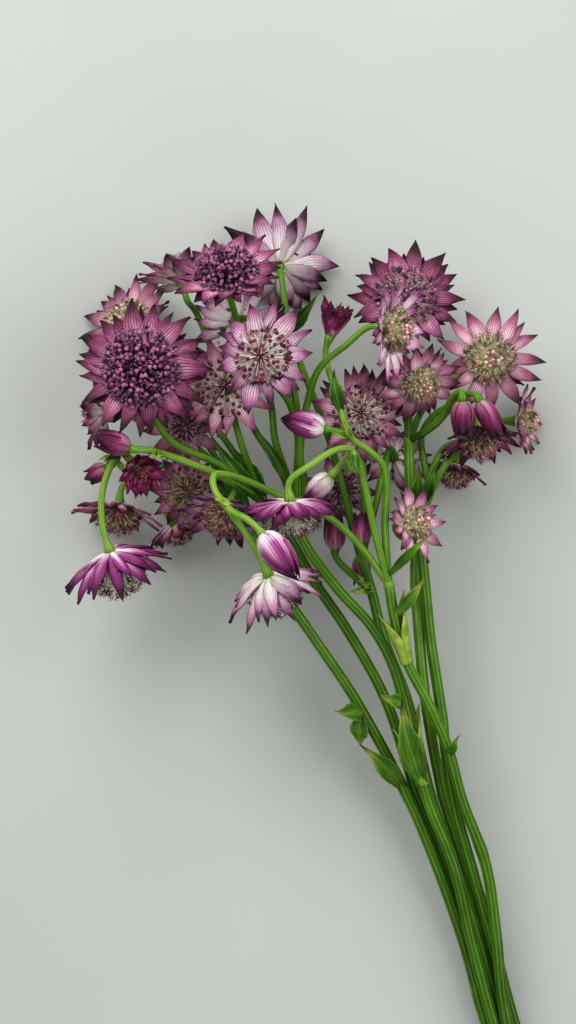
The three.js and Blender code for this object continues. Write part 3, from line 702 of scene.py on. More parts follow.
def stem_skin(name, colours):
    """A ribbed stem: painted highlights on the ribs and painted shade in the furrows that run along it, over
    a mottled green.
    """
    recipe = Recipe(name, 0.45, 0.05)
    uv, around = recipe.blade_place()[:2]
    streaks = recipe.streaks(uv, (26.0, 0.12, 1.0))
    mottling = recipe.scaled(recipe.grain(160.0, 4.0), 0.3, -0.15)
    body = recipe.ramp(recipe.plus(recipe.tone(), mottling), colours)
    ribs = recipe.maths("COSINE", recipe.times(around, math.tau * STEM_RIBS))
    # Painted shade and painted highlight: the green is darkened in the furrows and lightened on the ribs,
    # varied by the streaks
    uneven = recipe.times(recipe.scaled(ribs, 0.18, 0.92), recipe.scaled(streaks, 0.9, 0.55))
    # Painted highlight: the rib tops are washed with a pale green
    rib_highlights = recipe.times(recipe.maths("MAXIMUM", ribs, 0.0), recipe.scaled(streaks, 0.5, -0.06))
    return recipe.finish(recipe.mix(rib_highlights, recipe.brightened(body, uneven), RIB_HIGHLIGHT_GREEN), streaks, 0.3)


def leaf_veins(recipe, along, centred):
    """A midrib, and side veins that slant away from it."""
    midrib = recipe.minus(1.0, recipe.times(centred, 16.0), True)
    slanted = recipe.minus(recipe.times(along, LEAF_SIDE_VEINS), recipe.times(centred, LEAF_VEIN_SLANT))
    wave = recipe.maths("ABSOLUTE", recipe.maths("COSINE", recipe.times(slanted, math.pi)))
    return recipe.maths("MAXIMUM", midrib, recipe.times(recipe.maths("POWER", wave, 24.0), 0.3))


def leaf_skin(name):
    """A toothed leaf: a pale midrib and faint side veins on green, yellowed and browned to the tip."""
    recipe = Recipe(name, 0.5, 0.1)
    uv, across, along = recipe.blade_place()
    grain = recipe.grain(110.0)
    tone = recipe.tone()
    streaks = recipe.streaks(uv, (11.0, 1.6, 1.0))
    blotched = recipe.plus(recipe.scaled(grain, 0.5, 0.0), recipe.scaled(streaks, 0.7, -0.1))
    body = recipe.ramp(recipe.plus(blotched, recipe.scaled(tone, 0.3, -0.18)), LEAF_GREENS)
    centred = recipe.off_middle(across)
    veins = leaf_veins(recipe, along, centred)
    veined = recipe.mix(recipe.times(veins, 0.5), body, LEAF_VEIN_GREEN)
    run = recipe.plus(along, recipe.scaled(grain, 0.5, -0.25))
    edge = recipe.maths("MAXIMUM", recipe.scaled(run, 2.6, -1.6), recipe.scaled(centred, 3.0, -1.2))
    amount = recipe.times(recipe.maths("MINIMUM", recipe.maths("MAXIMUM", edge, 0.0), 0.7), tone)
    brown = recipe.times(recipe.minus(run, LEAF_BROWN_START), 9.0, True)
    browned = recipe.mix(brown, recipe.mix(amount, veined, LEAF_YELLOW), LEAF_BROWN)
    return recipe.finish(browned, veins, 0.3)


class Template:
    """One shape that is copied many times: its points, its faces and where each corner is on it."""

    def __init__(self, points, faces, corner_uv, finishes):
        self.points = np.array(points, dtype=float)
        self.faces = [tuple(face) for face in faces]
        self.corner_uv = np.array(corner_uv, dtype=float)
        self.finishes = list(finishes)

    def in_finish(self, finish):
        """The same shape, in one finish all over."""
        return Template(self.points, self.faces, self.corner_uv, [finish] * len(self.faces))

    def directions(self):
        """How far the points of a flat blank are across it, along it and out of it."""
        return self.points[:, 0], self.points[:, 1] + 0.5, self.points[:, 2]


class Pile:
    """Copies of shapes gathered into one mesh."""

    def __init__(self):
        self.points = []
        self.faces = []
        self.finishes = []
        self.corner_uv = []
        self.tones = []
        self.count = 0

    def add(self, shape, points, tone):
        """Adds a shape with its points moved."""
        start = self.count
        self.points.append(points)
        self.faces.extend([tuple(corner + start for corner in face) for face in shape.faces])
        self.finishes.extend(shape.finishes)
        self.corner_uv.append(shape.corner_uv)
        self.tones.append(np.broadcast_to(np.asarray(tone, dtype=float), (len(points),)))
        self.count += len(points)

    def add_copy(self, shape, matrix, tone=MIDDLE_TONE):
        """Adds a shape after a turn and a move."""
        self.add(shape, moved(shape.points, matrix), tone)

    def as_template(self):
        """All the shapes as one."""
        points, corner_uv = np.concatenate(self.points), np.concatenate(self.corner_uv)
        return Template(points, self.faces, corner_uv, self.finishes)

    def build(self, name, materials, solid):
        """Makes the piece that dresses a solid, pressed flat where it would sink below what it lies on."""
        points = np.concatenate(self.points)
        points[:, 2] = np.maximum(points[:, 2], PRESSED_FLAT)
        mesh = bpy.data.meshes.new(name)
        mesh.from_pydata((points * MM).tolist(), [], self.faces)
        mesh.polygons.foreach_set("material_index", self.finishes)
        mesh.polygons.foreach_set("use_smooth", [True] * len(self.faces))
        blade = mesh.uv_layers.new(name="Blade")
        blade.data.foreach_set("uv", np.concatenate(self.corner_uv).ravel())
        tone = mesh.attributes.new("tone", "FLOAT", "POINT")
        tone.data.foreach_set("value", np.concatenate(self.tones))
        for material in materials:
            mesh.materials.append(material)
        mesh.update()
        piece = bpy.data.objects.new(name, mesh)
        bpy.context.scene.collection.objects.link(piece)
        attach(piece, "root")
        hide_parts(solid)


def read_back(piece):
    """Takes a modelled piece as a template, with its underside in a second finish, and clears it."""
    mesh = piece.data
    points = [tuple(vertex.co) for vertex in mesh.vertices]
    faces = [tuple(face.vertices) for face in mesh.polygons]
    finishes = [int(face.normal.z < -0.5) for face in mesh.polygons]
    corner_uv = [(points[corner][0] + 0.5, points[corner][1] + 0.5) for face in faces for corner in face]
    bpy.data.objects.remove(piece)
    return Template(points, faces, corner_uv, finishes)


def model_blade(columns, rows):
    """A flat blank one unit wide and long, given a thickness; it is the start of every bract and leaf."""
    bpy.ops.object.select_all(action="DESELECT")
    bpy.ops.mesh.primitive_grid_add(x_subdivisions=columns, y_subdivisions=rows, size=1)
    blank = bpy.context.active_object
    thicken = blank.modifiers.new("Thickness", "SOLIDIFY")
    thicken.thickness = 1.0
    thicken.offset = 0.0
    bpy.ops.object.modifier_apply(modifier=thicken.name)
    return read_back(blank)


def model_bead(segments, rings, finish):
    """A round bead with five shallow furrows, as a closed floret has."""
    bpy.ops.object.select_all(action="DESELECT")
    bpy.ops.mesh.primitive_uv_sphere_add(segments=segments, ring_count=rings, radius=1)
    bead = bpy.context.active_object
    for vertex in bead.data.vertices:
        turn = math.atan2(vertex.co.y, vertex.co.x)
        swell = 1 + 0.14 * math.cos(5 * turn) * math.hypot(vertex.co.x, vertex.co.y)
        vertex.co.x *= swell
        vertex.co.y *= swell
    return read_back(bead).in_finish(finish)


def model_cone(sides, foot, top, height, finish):
    """A closed cone that stands on the origin."""
    bpy.ops.object.select_all(action="DESELECT")
    middle = (0, 0, height / 2)
    bpy.ops.mesh.primitive_cone_add(vertices=sides, radius1=foot, radius2=top, depth=height, location=middle)
    bpy.ops.object.transform_apply(location=True, rotation=True, scale=True)
    return read_back(bpy.context.active_object).in_finish(finish)


def model_star():
    """An open floret: a ribbed body, five pointed teeth that spread, and anthers on fine threads."""
    tooth = model_cone(3, 0.24, 0.02, 1.0, TEETH_FINISH)
    thread = model_cone(3, 0.06, 0.05, 1.3, STALKLET_FINISH)
    anther = model_cone(4, 0.2, 0.12, 0.34, POLLEN_FINISH)
    star = Pile()
    star.add_copy(model_cone(5, 0.28, 0.5, 1.1, BODY_FINISH), Matrix.Identity(4))
    for number in range(5):
        around = Matrix.Rotation(math.tau * number / 5, 4, "Z")
        spread = Matrix.Translation((0.34, 0, 1.0)) @ Matrix.Rotation(0.42, 4, "Y")
        star.add_copy(tooth, around @ spread)
    for number in range(3):
        around = Matrix.Rotation(math.tau * (number / 3 + 0.1), 4, "Z")
        lean = Matrix.Translation((0.1, 0, 1.0)) @ Matrix.Rotation(0.75, 4, "Y")
        star.add_copy(thread, around @ lean)
        star.add_copy(anther, around @ lean @ Matrix.Translation((0, 0, 1.25)))
    return star.as_template()


def model_closed_floret(finish):
    """A closed floret: a furrowed bead on a short body, with one thread that pokes out."""
    size = Matrix.Translation((0, 0, 1.05)) @ Matrix.Diagonal((0.78, 0.78, 0.72, 1))
    lean = Matrix.Translation((0.2, 0, 1.4)) @ Matrix.Rotation(0.5, 4, "Y")
    floret = Pile()
    floret.add_copy(model_cone(5, 0.25, 0.55, 0.6, STALKLET_FINISH), Matrix.Identity(4))
    floret.add_copy(model_bead(8, 5, finish), size)
    floret.add_copy(model_cone(3, 0.06, 0.05, 2.2, POLLEN_FINISH), lean)
    return floret.as_template()


def model_dome():
    """The middle of a dome of florets, nearly flat below."""
    dome = model_bead(16, 8, MIDDLE_FINISH)
    heights = dome.points[:, 2]
    dome.points[:, 2] = np.where(heights < 0, 0.08 * heights, heights)
    return dome


def bract_spine(share, reach, height, bow, foot_height):
    """Distance from the axis and height of a bract's middle line at shares of its length."""
    across = BRACT_FOOT_REACH + (reach - BRACT_FOOT_REACH) * share
    rise = foot_height + (height - foot_height) * share + bow * np.sin(math.pi * share)
    return across, rise


def add_bract(pile, matrix, angle, spine, width, look):
    """One bract: the blank bent along its spine, narrowed to its outline, channelled and twisted."""
    side, share, face = BRACT_BLADE.directions()
    reach, rise = bract_spine(share, *spine)
    next_reach, next_rise = bract_spine(share + SPINE_STEP, *spine)
    slope = np.arctan2(next_rise - rise, next_reach - reach)
    outline = np.interp(share, *BRACT_OUTLINE)
    across = side * width * outline * (1 + BRACT_WAVE * np.sin(share * 9 + look["seed"]))
    channel = look["channel"] * width * (4 * side ** 2 - 0.33) * outline
    ripple = look["ripple"] * np.sin(share * 14 + side * 5 + look["seed"]) * share
    proud = channel + face * BRACT_THICKNESS + ripple
    twist = look["twist"] * (share - 0.25)
    along_side = across * np.cos(twist) - proud * np.sin(twist)
    out_of_face = across * np.sin(twist) + proud * np.cos(twist)
    turn = angle + look["swing"] * share ** 2
    radial = reach - out_of_face * np.sin(slope)
    points = np.stack([
        radial * np.cos(turn) - along_side * np.sin(turn),
        radial * np.sin(turn) + along_side * np.cos(turn),
        rise + out_of_face * np.cos(slope),
    ], axis=1)
    pile.add(BRACT_BLADE, moved(points, matrix), look["tone"])


def add_wrapped_blade(pile, blade, matrix, angle, profile, spread, look):
    """One blade that lies round a bud or a stem, wrapped on a turned profile of radii and heights."""
    side, share, face = blade.directions()
    shares, radii, heights = profile
    radius = np.interp(share, shares, radii) + face * BRACT_THICKNESS + look["lift"] * share
    radius = radius + look["curl"] * np.maximum(share - 0.8, 0) * 5
    turn = angle + side * spread * np.interp(share, *look["outline"]) + look["swing"] * share
    points = [radius * np.cos(turn), radius * np.sin(turn), np.interp(share, shares, heights)]
    pile.add(blade, moved(np.stack(points, axis=1), matrix), look["tone"])


def dome_sizes(head):
    """A dome's reach, its height and the height of its foot, the same as its solid has."""
    length, cup = head["length"], math.radians(head["cup"])
    foot = DOME_FOOT_SHARE * length * math.sin(cup) + DOME_FOOT_HEIGHT
    return DOME_RADIUS_SHARE * length * math.cos(cup) ** 3, DOME_HEIGHT_SHARE * length, foot


def bract_look(seed, spoke, tone):
    """How one bract differs from its neighbours."""
    return {
        "seed": 3 * draw(seed + 1, spoke),
        "channel": 0.12 + 0.08 * draw(seed + 2, spoke),
        "ripple": 0.35 + 0.2 * draw(seed + 3, spoke),
        "twist": 0.8 * draw(seed + 4, spoke),
        "swing": 0.13 * draw(seed + 5, spoke),
        "tone": tone + 0.45 * draw(seed + 6, spoke),
    }


def bract_shares(seed, spoke):
    """A bract's length, its layer's height, its tip's lift and its width, as shares of the usual length."""
    if spoke % 2 == 1:
        return LOWER_TIP_SHARE + LOWER_TIP_SPREAD * draw(seed + 12, spoke), LOWER_LAYER, 0, LOWER_BRACT_WIDTH
    layer = RAISED_LAYER if spoke % 4 == 0 else SUNK_LAYER
    return TIP_SHARE + TIP_SPREAD * draw(seed, spoke), layer, TIP_LIFT * draw(seed + 7, spoke), BRACT_WIDTH


def build_bracts(head):
    """The ruff of one head: a bract to each tip of the solid, and lower ones that show between them."""
    name, ruff, length, cup = head["name"], head["ruff"], head["length"], math.radians(head["cup"])
    seed = name_number(name)
    broad, lower_share, arch = HEAD_LOOKS.get(name, USUAL_LOOK)[2:]
    matrix = facing_matrix(head["facing"], place(head["hub"]))
    pile = Pile()
    spokes = 2 * head["bracts"]
    for spoke in range(spokes):
        is_lower = spoke % 2 == 1
        if is_lower and draw(seed + 11, spoke) > 2 * lower_share - 1:
            continue
        tip, layer, lift, width = bract_shares(seed, spoke)
        height = length * (tip * math.sin(cup) + layer + lift) + RUFF_HEIGHT
        bow = length * (arch + BOW_SPREAD * draw(seed + 9, spoke))
        foot_height = BRACT_FOOT_HEIGHT + RAISED_FOOT * (layer > 0)
        spine = (tip * length * math.cos(cup), height, bow, foot_height)
        width *= length * broad * (1 + WIDTH_SPREAD * draw(seed + 8, spoke))
        tone = MIDDLE_TONE + HEAD_TONES.get(name, 0) - LOWER_BRACT_SHADE * is_lower
        add_bract(pile, matrix, math.tau * spoke / spokes, spine, width, bract_look(seed, spoke, tone))
    solid = ("ruff_" if "dome" in head else "head_") + name
    pile.build("bracts_" + name, [TOP_SKINS[ruff], UNDER_SKINS[ruff]], solid)


def build_florets(head):
    """The dome of one head: stalklets that fan out from the middle, each with its floret."""
    reach, height, foot = dome_sizes(head)
    seed = name_number(head["name"])
    kind, count = HEAD_LOOKS.get(head["name"], USUAL_LOOK)[:2]
    matrix = facing_matrix(head["facing"], place(head["hub"]))
    size = FLORET_SIZE * math.sqrt(head["length"] / USUAL_BRACT_LENGTH)
    floret_height = FLORET_HEIGHTS.get(kind, USUAL_FLORET_HEIGHT) * size
    fan_foot = Vector((0, 0, FAN_FOOT_SHARE * foot + FAN_FOOT_HEIGHT))
    core = CORE_SHARES.get(kind, USUAL_CORE_SHARE)
    core_size = Matrix.Diagonal((core * reach, core * reach, core * height, 1))
    pile = Pile()
    pile.add_copy(CORE_DOME, matrix @ Matrix.Translation((0, 0, foot - CORE_SINK)) @ core_size, CORE_TONE)
    for number in range(count):
        share = (number + 0.5) / count
        polar = math.acos(1 - share * (1 - math.cos(FAN_ANGLE))) + 0.05 * draw(seed + 20, number)
        around = number * GOLDEN_ANGLE + seed + 0.12 * draw(seed + 21, number)
        far = FLORET_REACH.get(kind, USUAL_FLORET_REACH) + 0.07 * draw(seed + 22, number)
        top = Vector((
            reach * far * math.sin(polar) * math.cos(around),
            reach * far * math.sin(polar) * math.sin(around),
            foot + height * far * math.cos(polar),
        ))
        axis = (top - fan_foot).normalized()
        neck = top - axis * floret_height
        stalklet = facing_matrix(axis, fan_foot) @ Matrix.Diagonal((1, 1, (neck - fan_foot).length, 1))
        pile.add_copy(STALKLET, matrix @ stalklet, 0.5 + 0.3 * draw(seed + 23, number))
        spin = Matrix.Rotation(3 * draw(seed + 24, number), 4, "Z")
        scale = Matrix.Diagonal((size, size, size * (1 + 0.15 * draw(seed + 25, number)), 1))
        in_heart = kind == "green" and share < HEART_SHARE
        floret = DARK_FLORET if in_heart else FLORET_SHAPES[kind][number % len(FLORET_SHAPES[kind])]
        standing = matrix @ facing_matrix(axis, neck) @ spin @ scale
        pile.add_copy(floret, standing, 0.5 + 0.45 * draw(seed + 26, number))
    solid = ("florets_" if "dome" in head else "head_") + head["name"]
    pile.build("floret_dome_" + head["name"], FLORET_SKINS[kind], solid)


def build_bud(bud):
    """A closed bud: two layers of bracts wrapped round a plump core, the outer ones a little apart."""
    base, tip = place(bud["base"]), place(bud["tip"])
    length = (tip - base).length
    half = bud["width"] / 2
    seed = name_number("bud" + bud["name"])
    matrix = facing_matrix(tip - base, base)
    core_size = Matrix.Diagonal((BUD_CORE_WIDTH * half, BUD_CORE_WIDTH * half, BUD_CORE_LENGTH * length, 1))
    pile = Pile()
    middle = Matrix.Translation((0, 0, BUD_CORE_MIDDLE * length))
    pile.add_copy(BUD_CORE, matrix @ middle @ core_size, BUD_CORE_TONE)
    outer = OPENING_BUD if bud["colour"] == "maroon" else SHUT_BUD
    for layer, ((count, size, spread), swells) in enumerate(zip(BUD_LAYERS, (SHUT_BUD, outer))):
        radii = [half * size * swell for swell in swells]
        for number in range(count):
            mark = number + 10 * layer
            angle = math.tau * (number + 0.5 * layer) / count + 0.2 * draw(seed, mark)
            reach = length * (1 - 0.08 * layer * draw(seed + 4, number))
            heights = [reach * share for share in BUD_SHARES]
            look = {
                "outline": BUD_OUTLINE,
                "lift": 0.3 * abs(draw(seed + 1, mark)) * layer,
                "curl": 0.5 * draw(seed + 2, mark),
                "swing": 0.25,
                "tone": BUD_TONES.get(bud["name"], USUAL_BUD_TONE) + 0.3 * draw(seed + 3, mark),
            }
            add_wrapped_blade(pile, BRACT_BLADE, matrix, angle, (BUD_SHARES, radii, heights), spread, look)
    colour = BUD_COLOURS.get(bud["name"], "maroon")
    materials = [UNDER_SKINS[colour], TOP_SKINS[colour], UNDER_SKINS["maroon"]]
    pile.build("bud_bracts_" + bud["name"], materials, "bud_" + bud["name"])


def smooth_line(points, spacing):
    """Places along a smooth line through hand-set points, about evenly apart."""
    held = [np.array(point) for point in points]
    held = [2 * held[0] - held[1]] + held + [2 * held[-1] - held[-2]]
    line = []
    for before, start, end, after in zip(held, held[1:], held[2:], held[3:]):
        steps = [(before, start), (start, end), (end, after)]
        near, here, far = [max(np.linalg.norm(b - a) ** 0.5, 1e-4) for a, b in steps]
        leave = (start - before) / near - (end - before) / (near + here) + (end - start) / here
        arrive = (end - start) / here - (after - start) / (here + far) + (after - end) / far
        count = max(2, int(round(np.linalg.norm(end - start) / spacing)))
        for step in range(count):
            t = step / count
            ease = 3 * t ** 2 - 2 * t ** 3
            bend = (t ** 3 - 2 * t ** 2 + t) * leave + (t ** 3 - t ** 2) * arrive
            line.append((1 - ease) * start + ease * end + bend * here)
    line.append(held[-2])
    return np.array(line)


def ring_turns(line):
    """Side and up directions at each place of a line, carried along without twisting, and the way on."""
    forward = np.gradient(line, axis=0)
    forward /= np.linalg.norm(forward, axis=1)[:, None]
    turn = Vector((0, 0, 1)).rotation_difference(Vector(forward[0])).to_matrix()
    side = np.array(turn.col[0])
    sides, ups = [], []
    for direction in forward:
        side = side - direction * side.dot(direction)
        side /= np.linalg.norm(side)
        sides.append(side)
        ups.append(np.cross(direction, side))
    return sides, ups, forward


def add_sleeve(pile, line, radii, sides, ribs, tones, is_cut=False):
    """A closed ribbed tube along a line; where it is cut, its first end slants."""
    across, up, forward = ring_turns(line)
    turn = np.arange(sides) * math.tau / sides
    ribbing = 1 + RIB_DEPTH * np.cos(ribs * turn)
    rings = []
    for middle, side, lift, radius in zip(line, across, up, radii):
        ring = radius * ribbing
        rings.append(middle + np.outer(ring * np.cos(turn), side) + np.outer(ring * np.sin(turn), lift))
    if is_cut:
        lean = radii[0] + radii[0] * np.sin(turn) * math.tan(CUT_SLANT)
        rings[0] = rings[0] + np.outer(lean, forward[0])
    travel = np.concatenate([[0], np.cumsum(np.linalg.norm(np.diff(line, axis=0), axis=1))])
    faces, corner_uv = [], []
    for ring in range(len(rings) - 1):
        low, high = ring * sides, (ring + 1) * sides
        foot, top = travel[ring], travel[ring + 1]
        for number in range(sides):
            following = (number + 1) % sides
            faces.append((low + number, low + following, high + following, high + number))
            left, right = number / sides, (number + 1) / sides
            corner_uv += [(left, foot), (right, foot), (right, top), (left, top)]
    finishes = [STEM_FINISH] * len(faces)
    last_ring, first_end = (len(rings) - 1) * sides, len(rings) * sides
    for number in range(sides):
        following = (number + 1) % sides
        faces.append((first_end, following, number))
        faces.append((first_end + 1, last_ring + number, last_ring + following))
        corner_uv += [(0.5, 0), (0, 1), (0, 1), (0.5, travel[-1]), (0, travel[-1]), (1, travel[-1])]
        finishes += [CUT_FINISH if is_cut else STEM_FINISH, STEM_FINISH]
    points = np.concatenate(rings + [[rings[0].mean(axis=0), rings[-1].mean(axis=0)]])
    tone = np.concatenate([np.repeat(tones, sides), [tones[0], tones[-1]]])
    pile.add(Template(points, faces, corner_uv, finishes), points, tone)


def add_joint(pile, middle, radius, tone):
    """The swelling where stalks meet."""
    pile.add_copy(JOINT, Matrix.Translation(Vector(middle)) @ Matrix.Scale(radius, 4), tone)


def add_stalk(pile, stem, branch, seed):
    """A side stalk: it leaves its stem, follows its bends and meets its flower squarely."""
    leaves_stalk = "from" in branch
    is_bud = branch["to"].startswith("bud")
    foot, axis = HOLDERS[branch["to"]]
    neck = BUD_NECK_LENGTH if is_bud else NECK_LENGTH
    points = [place(branch["from"] if leaves_stalk else stem["path"][-1])]
    points += [place(bend) for bend in branch["bends"]]
    points += [foot - axis * neck, foot + axis * STALK_TENON]
    line = smooth_line(points, STALK_RING_SPACING)
    share = np.linspace(0, 1, len(line))
    radii = STALK_RADIUS * (STALK_FOOT_SWELL - STALK_TAPER * share)
    radii[-2] = STALK_JOINT_SWELL * STALK_RADIUS
    radii[-1] = (BUD_NECK_SWELL if is_bud else HEAD_NECK_SWELL) * STALK_RADIUS
    tone = STALK_TONES.get(branch["to"], USUAL_STALK_TONE)
    foot_tone = tone if leaves_stalk else STALK_FOOT_SHADE * tone
    tones = foot_tone + (tone - foot_tone) * np.sqrt(share) + 0.05 * np.sin(share * 9 + seed)
    add_sleeve(pile, line, radii, STALK_SIDES, STALK_RIBS, tones)
    add_joint(pile, line[0], STALK_JOINT_SWELL * STALK_RADIUS, foot_tone)


def add_leaf(pile, blade, root, tip, width, tone):
    """A toothed leaf, hollowed along its midrib, bowed from root to tip and hooked at the tip."""
    length = (tip - root).length
    forward = (tip - root).normalized()
    side = Vector((0, 0, 1)).cross(forward).normalized()
    across, share, face = blade.directions()
    full = np.interp(share, *LEAF_OUTLINE)
    tooth = 1 - TOOTH_DEPTH * ((share * LEAF_TEETH) % 1) * (np.abs(across) > TOOTHED_FROM)
    hook = LEAF_HOOK * width * math.copysign(1, draw(int(length * 10), 1)) * share ** 3
    wide = across * width * LEAF_FULLNESS * full * tooth + hook
    bow = LEAF_BOW_SHARE * length * np.sin(math.pi * share)
    hollow = LEAF_HOLLOW * width * (2 * np.abs(across)) ** 1.5 * full
    height = bow + hollow + face * LEAF_THICKNESS + LEAF_RIPPLE * np.sin(share * 13 + across * 3)
    points = np.stack([wide, height, length * share], axis=1)
    points = points @ np.array([side, forward.cross(side), forward]) + np.array(root)
    pile.add(blade, points, tone)


def add_sheath(pile, foot, top):
    """The funnel at a joint: two clasping blades that end in ragged points."""
    matrix = facing_matrix(top - foot, foot)
    radii = [STEM_RADIUS * swell for swell in SHEATH_SWELLS]
    look = {"outline": SHEATH_OUTLINE, "lift": 0.2, "curl": 0.6, "swing": 0.2, "tone": MIDDLE_TONE}
    for angle, reach in SHEATH_TURNS_AND_REACHES:
        heights = [(top - foot).length * share * reach for share in SHEATH_SHARES]
        profile = (SHEATH_SHARES, radii, heights)
        add_wrapped_blade(pile, SHEATH_BLADE, matrix, angle, profile, SHEATH_SPREAD, look)


def add_leaflets(pile, joint, toward, seed):
    """Small clasping leaflets round the joint that a side stalk leaves from."""
    out = (toward - joint).normalized()
    for number in range(LEAFLETS):
        side = Vector((draw(seed, number), draw(seed + 1, number), 0.5 + 0.5 * draw(seed + 2, number)))
        length = LEAFLET_LENGTH + LEAFLET_LENGTH_SPREAD * draw(seed + 3, number)
        tip = joint + (out + 0.9 * side).normalized() * length
        add_leaf(pile, SHEATH_BLADE, joint, tip, LEAFLET_WIDTH, MIDDLE_TONE)


def build_stem(stem):
    """One stem with its side stalks, joints, sheaths and leaflets."""
    seed = name_number(stem["name"])
    branches = named(BRANCH_FIELDS, stem["branches"])
    line = smooth_line([place(point) for point in stem["path"]], STEM_RING_SPACING)
    share = np.linspace(0, 1, len(line))
    radii = STEM_RADIUS + (STEM_TOP_RADIUS - STEM_RADIUS) * share
    for joint in STEM_JOINTS:
        middle = joint + JOINT_SHIFT * draw(seed, int(10 * joint))
        radii = radii + JOINT_SWELL * np.exp(-((share - middle) * len(line) / JOINT_SWELL_RINGS) ** 2)
    tones = STEM_TONES[stem["colour"]] + 0.3 * share + 0.05 * np.sin(share * 23 + seed)
    pile = Pile()
    add_sleeve(pile, line, radii, STEM_SIDES, STEM_RIBS, tones, is_cut=True)
    add_joint(pile, line[-1], JOINT_RADIUS, MIDDLE_TONE)
    for branch in branches:
        add_stalk(pile, stem, branch, seed)
    for foot, top in stem.get("sheaths", []):
        add_sheath(pile, place(foot), place(top))
    for branch in branches:
        if "from" in branch:
            add_leaflets(pile, place(branch["from"]), HOLDERS[branch["to"]][0], name_number(branch["to"]))
    materials = [STEM_SKIN, CUT_FACE, SHEATH_SKIN]
    pile.build("leafy_stem_" + stem["name"], materials, "stem_" + stem["name"])


def build_leaves(stem):
    """The leaves of one stem, darker where they stand in the shade of the heads."""
    pile = Pile()
    for root, tip, width in stem["leaves"]:
        tone = SHADED_LEAF_TONE if tip[1] < SHADED_ABOVE else SUNLIT_LEAF_TONE
        add_leaf(pile, LEAF_BLADE, place(root), place(tip), width, tone)
    materials = [LEAF_SKIN, LEAF_UNDER]
    pile.build("leaves_" + stem["name"], materials, "stem_" + stem["name"])


# Materials
TOP_SKINS, UNDER_SKINS = {}, {}
for ruff, (top, under, vein, streak) in BRACT_COLOURS.items():
    TOP_SKINS[ruff] = veined_bract("bract_top_" + ruff, top, vein, streak, UPPER_VEIN_STRENGTH)
    UNDER_SKINS[ruff] = veined_bract("bract_underside_" + ruff, under, vein, streak, UNDERSIDE_VEIN_STRENGTH)
FLORET_SKINS = {}
for kind, colours in FLORET_COLOURS.items():
    FLORET_SKINS[kind] = []
    for part, colour in zip(FLORET_PARTS, colours):
        FLORET_SKINS[kind].append(plain_skin(part + "_" + kind, shades(colour), 900.0, 0.75))
STEM_SKIN = stem_skin("ribbed_stem", STEM_GREENS)
CUT_FACE = plain_skin("cut_end", CUT_GREENS, 700.0)
SHEATH_SKIN = plain_skin("sheath", SHEATH_GREENS, 260.0, 0.6, 1.0)
LEAF_SKIN = leaf_skin("leaf_top")
LEAF_UNDER = plain_skin("leaf_underside", LEAF_UNDERSIDE_GREENS, 300.0)

# Shapes that are modelled once and copied
BRACT_BLADE = model_blade(BRACT_COLUMNS, BRACT_ROWS)
LEAF_BLADE = model_blade(4, 24)
SHEATH_BLADE = LEAF_BLADE.in_finish(SHEATH_FINISH)
OPEN_FLORET = model_star()
CLOSED_FLORET = model_closed_floret(BODY_FINISH)
DARK_FLORET = model_closed_floret(TEETH_FINISH)
FLORET_SHAPES = {
    "bead": [CLOSED_FLORET, OPEN_FLORET, CLOSED_FLORET, CLOSED_FLORET],
    "pin": [DARK_FLORET, DARK_FLORET, OPEN_FLORET],
    "star": [OPEN_FLORET, DARK_FLORET, OPEN_FLORET],
    "fringe": [OPEN_FLORET],
    "green": [OPEN_FLORET],
    "brown": [OPEN_FLORET, OPEN_FLORET, DARK_FLORET],
    "dusk": [OPEN_FLORET, DARK_FLORET],
}
STALKLET = model_cone(4, 0.14, 0.2, 1.0, STALKLET_FINISH)
CORE_DOME = model_dome()
JOINT = model_bead(16, 8, STEM_FINISH)
BUD_CORE = model_bead(16, 8, BUD_CORE_FINISH)

# Where each flower meets its stalk, and the way it faces there
HOLDERS = {}
for head in HEADS:
    HOLDERS[head["name"]] = (place(head["hub"]), Vector(head["facing"]).normalized())
for bud in BUDS:
    base, tip = place(bud["base"]), place(bud["tip"])
    HOLDERS["bud_" + bud["name"]] = (base, (tip - base).normalized())

for head in HEADS:
    build_bracts(head)
    build_florets(head)
for bud in BUDS:
    build_bud(bud)
for stem in STEMS:
    build_stem(stem)
    build_leaves(stem)

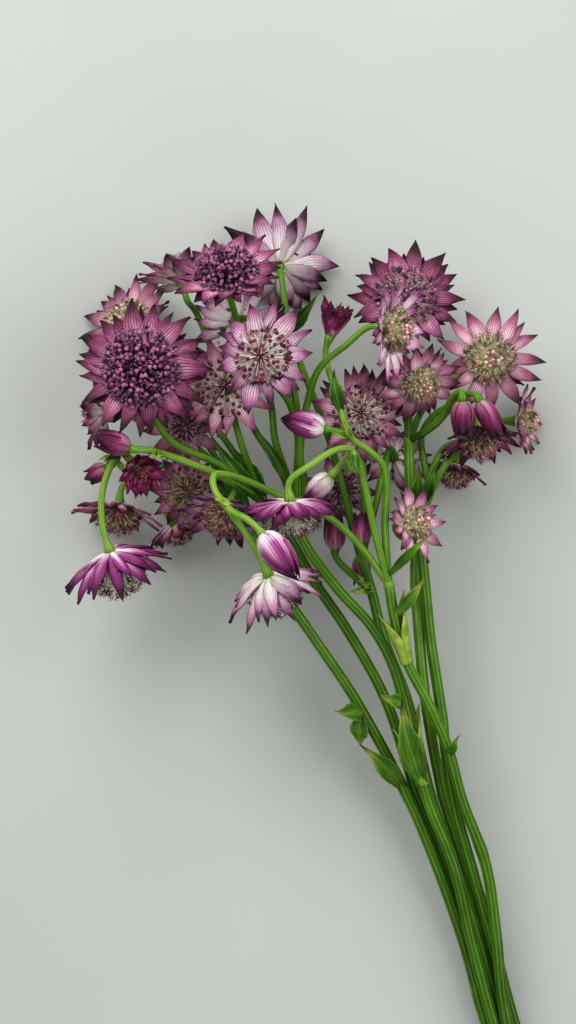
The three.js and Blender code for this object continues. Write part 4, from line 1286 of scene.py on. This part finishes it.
# Floor, in metres
FLOOR_SIZE = 16
FLOOR_GAP = 0.0002
bpy.ops.object.select_all(action="DESELECT")
bpy.ops.mesh.primitive_plane_add(size=FLOOR_SIZE, location=(0, 0, -FLOOR_GAP))
floor = bpy.context.active_object
floor.name = "pale_floor"
floor_recipe = Recipe("pale_floor", 0.9)
floor.data.materials.append(floor_recipe.finish(floor_recipe.ramp(floor_recipe.grain(5.0, 6.0), FLOOR_GREYS)))


def add_light(name, place_at, size, power, aim_at):
    """A square soft light, turned to a place; here all is in metres."""
    lamp = bpy.data.lights.new(name, "AREA")
    lamp.size = size
    lamp.energy = power
    piece = bpy.data.objects.new(name, lamp)
    piece.location = place_at
    piece.rotation_euler = (Vector(aim_at) - Vector(place_at)).to_track_quat("-Z", "Y").to_euler()
    bpy.context.scene.collection.objects.link(piece)


# Lights, in metres
FLOWERS = (-0.02, 0.12, 0.04)
add_light("window", (-0.4, 0.78, 0.82), 0.9, 10.4, FLOWERS)
add_light("fill", (0.75, 0.3, 1.0), 1.0, 7.0, FLOWERS)
world = bpy.context.scene.world or bpy.data.worlds.new("room")
bpy.context.scene.world = world
world.use_nodes = True
world.node_tree.nodes["Background"].inputs["Color"].default_value = (0.93, 0.95, 0.94, 1)
world.node_tree.nodes["Background"].inputs["Strength"].default_value = 0.42

# Camera, straight above the picture's middle, in metres
CAMERA_DISTANCE = 1.5
PICTURE_HEIGHT = PICTURE_SIZE[1] / PICTURE_UNITS_PER_MM * MM
VIEW_HEIGHT = 0.045
view_middle = place((PICTURE_SIZE[0] / 2, PICTURE_SIZE[1] / 2, 0)) * MM
camera_data = bpy.data.cameras.new("camera")
camera_data.sensor_width = 36
camera_data.lens = camera_data.sensor_width * CAMERA_DISTANCE / PICTURE_HEIGHT
camera = bpy.data.objects.new("camera", camera_data)
camera.location = (view_middle.x, view_middle.y, CAMERA_DISTANCE + VIEW_HEIGHT)
bpy.context.scene.collection.objects.link(camera)
bpy.context.scene.camera = camera
bpy.context.scene.view_settings.view_transform = "Standard"
bpy.context.scene.view_settings.look = "Medium High Contrast"
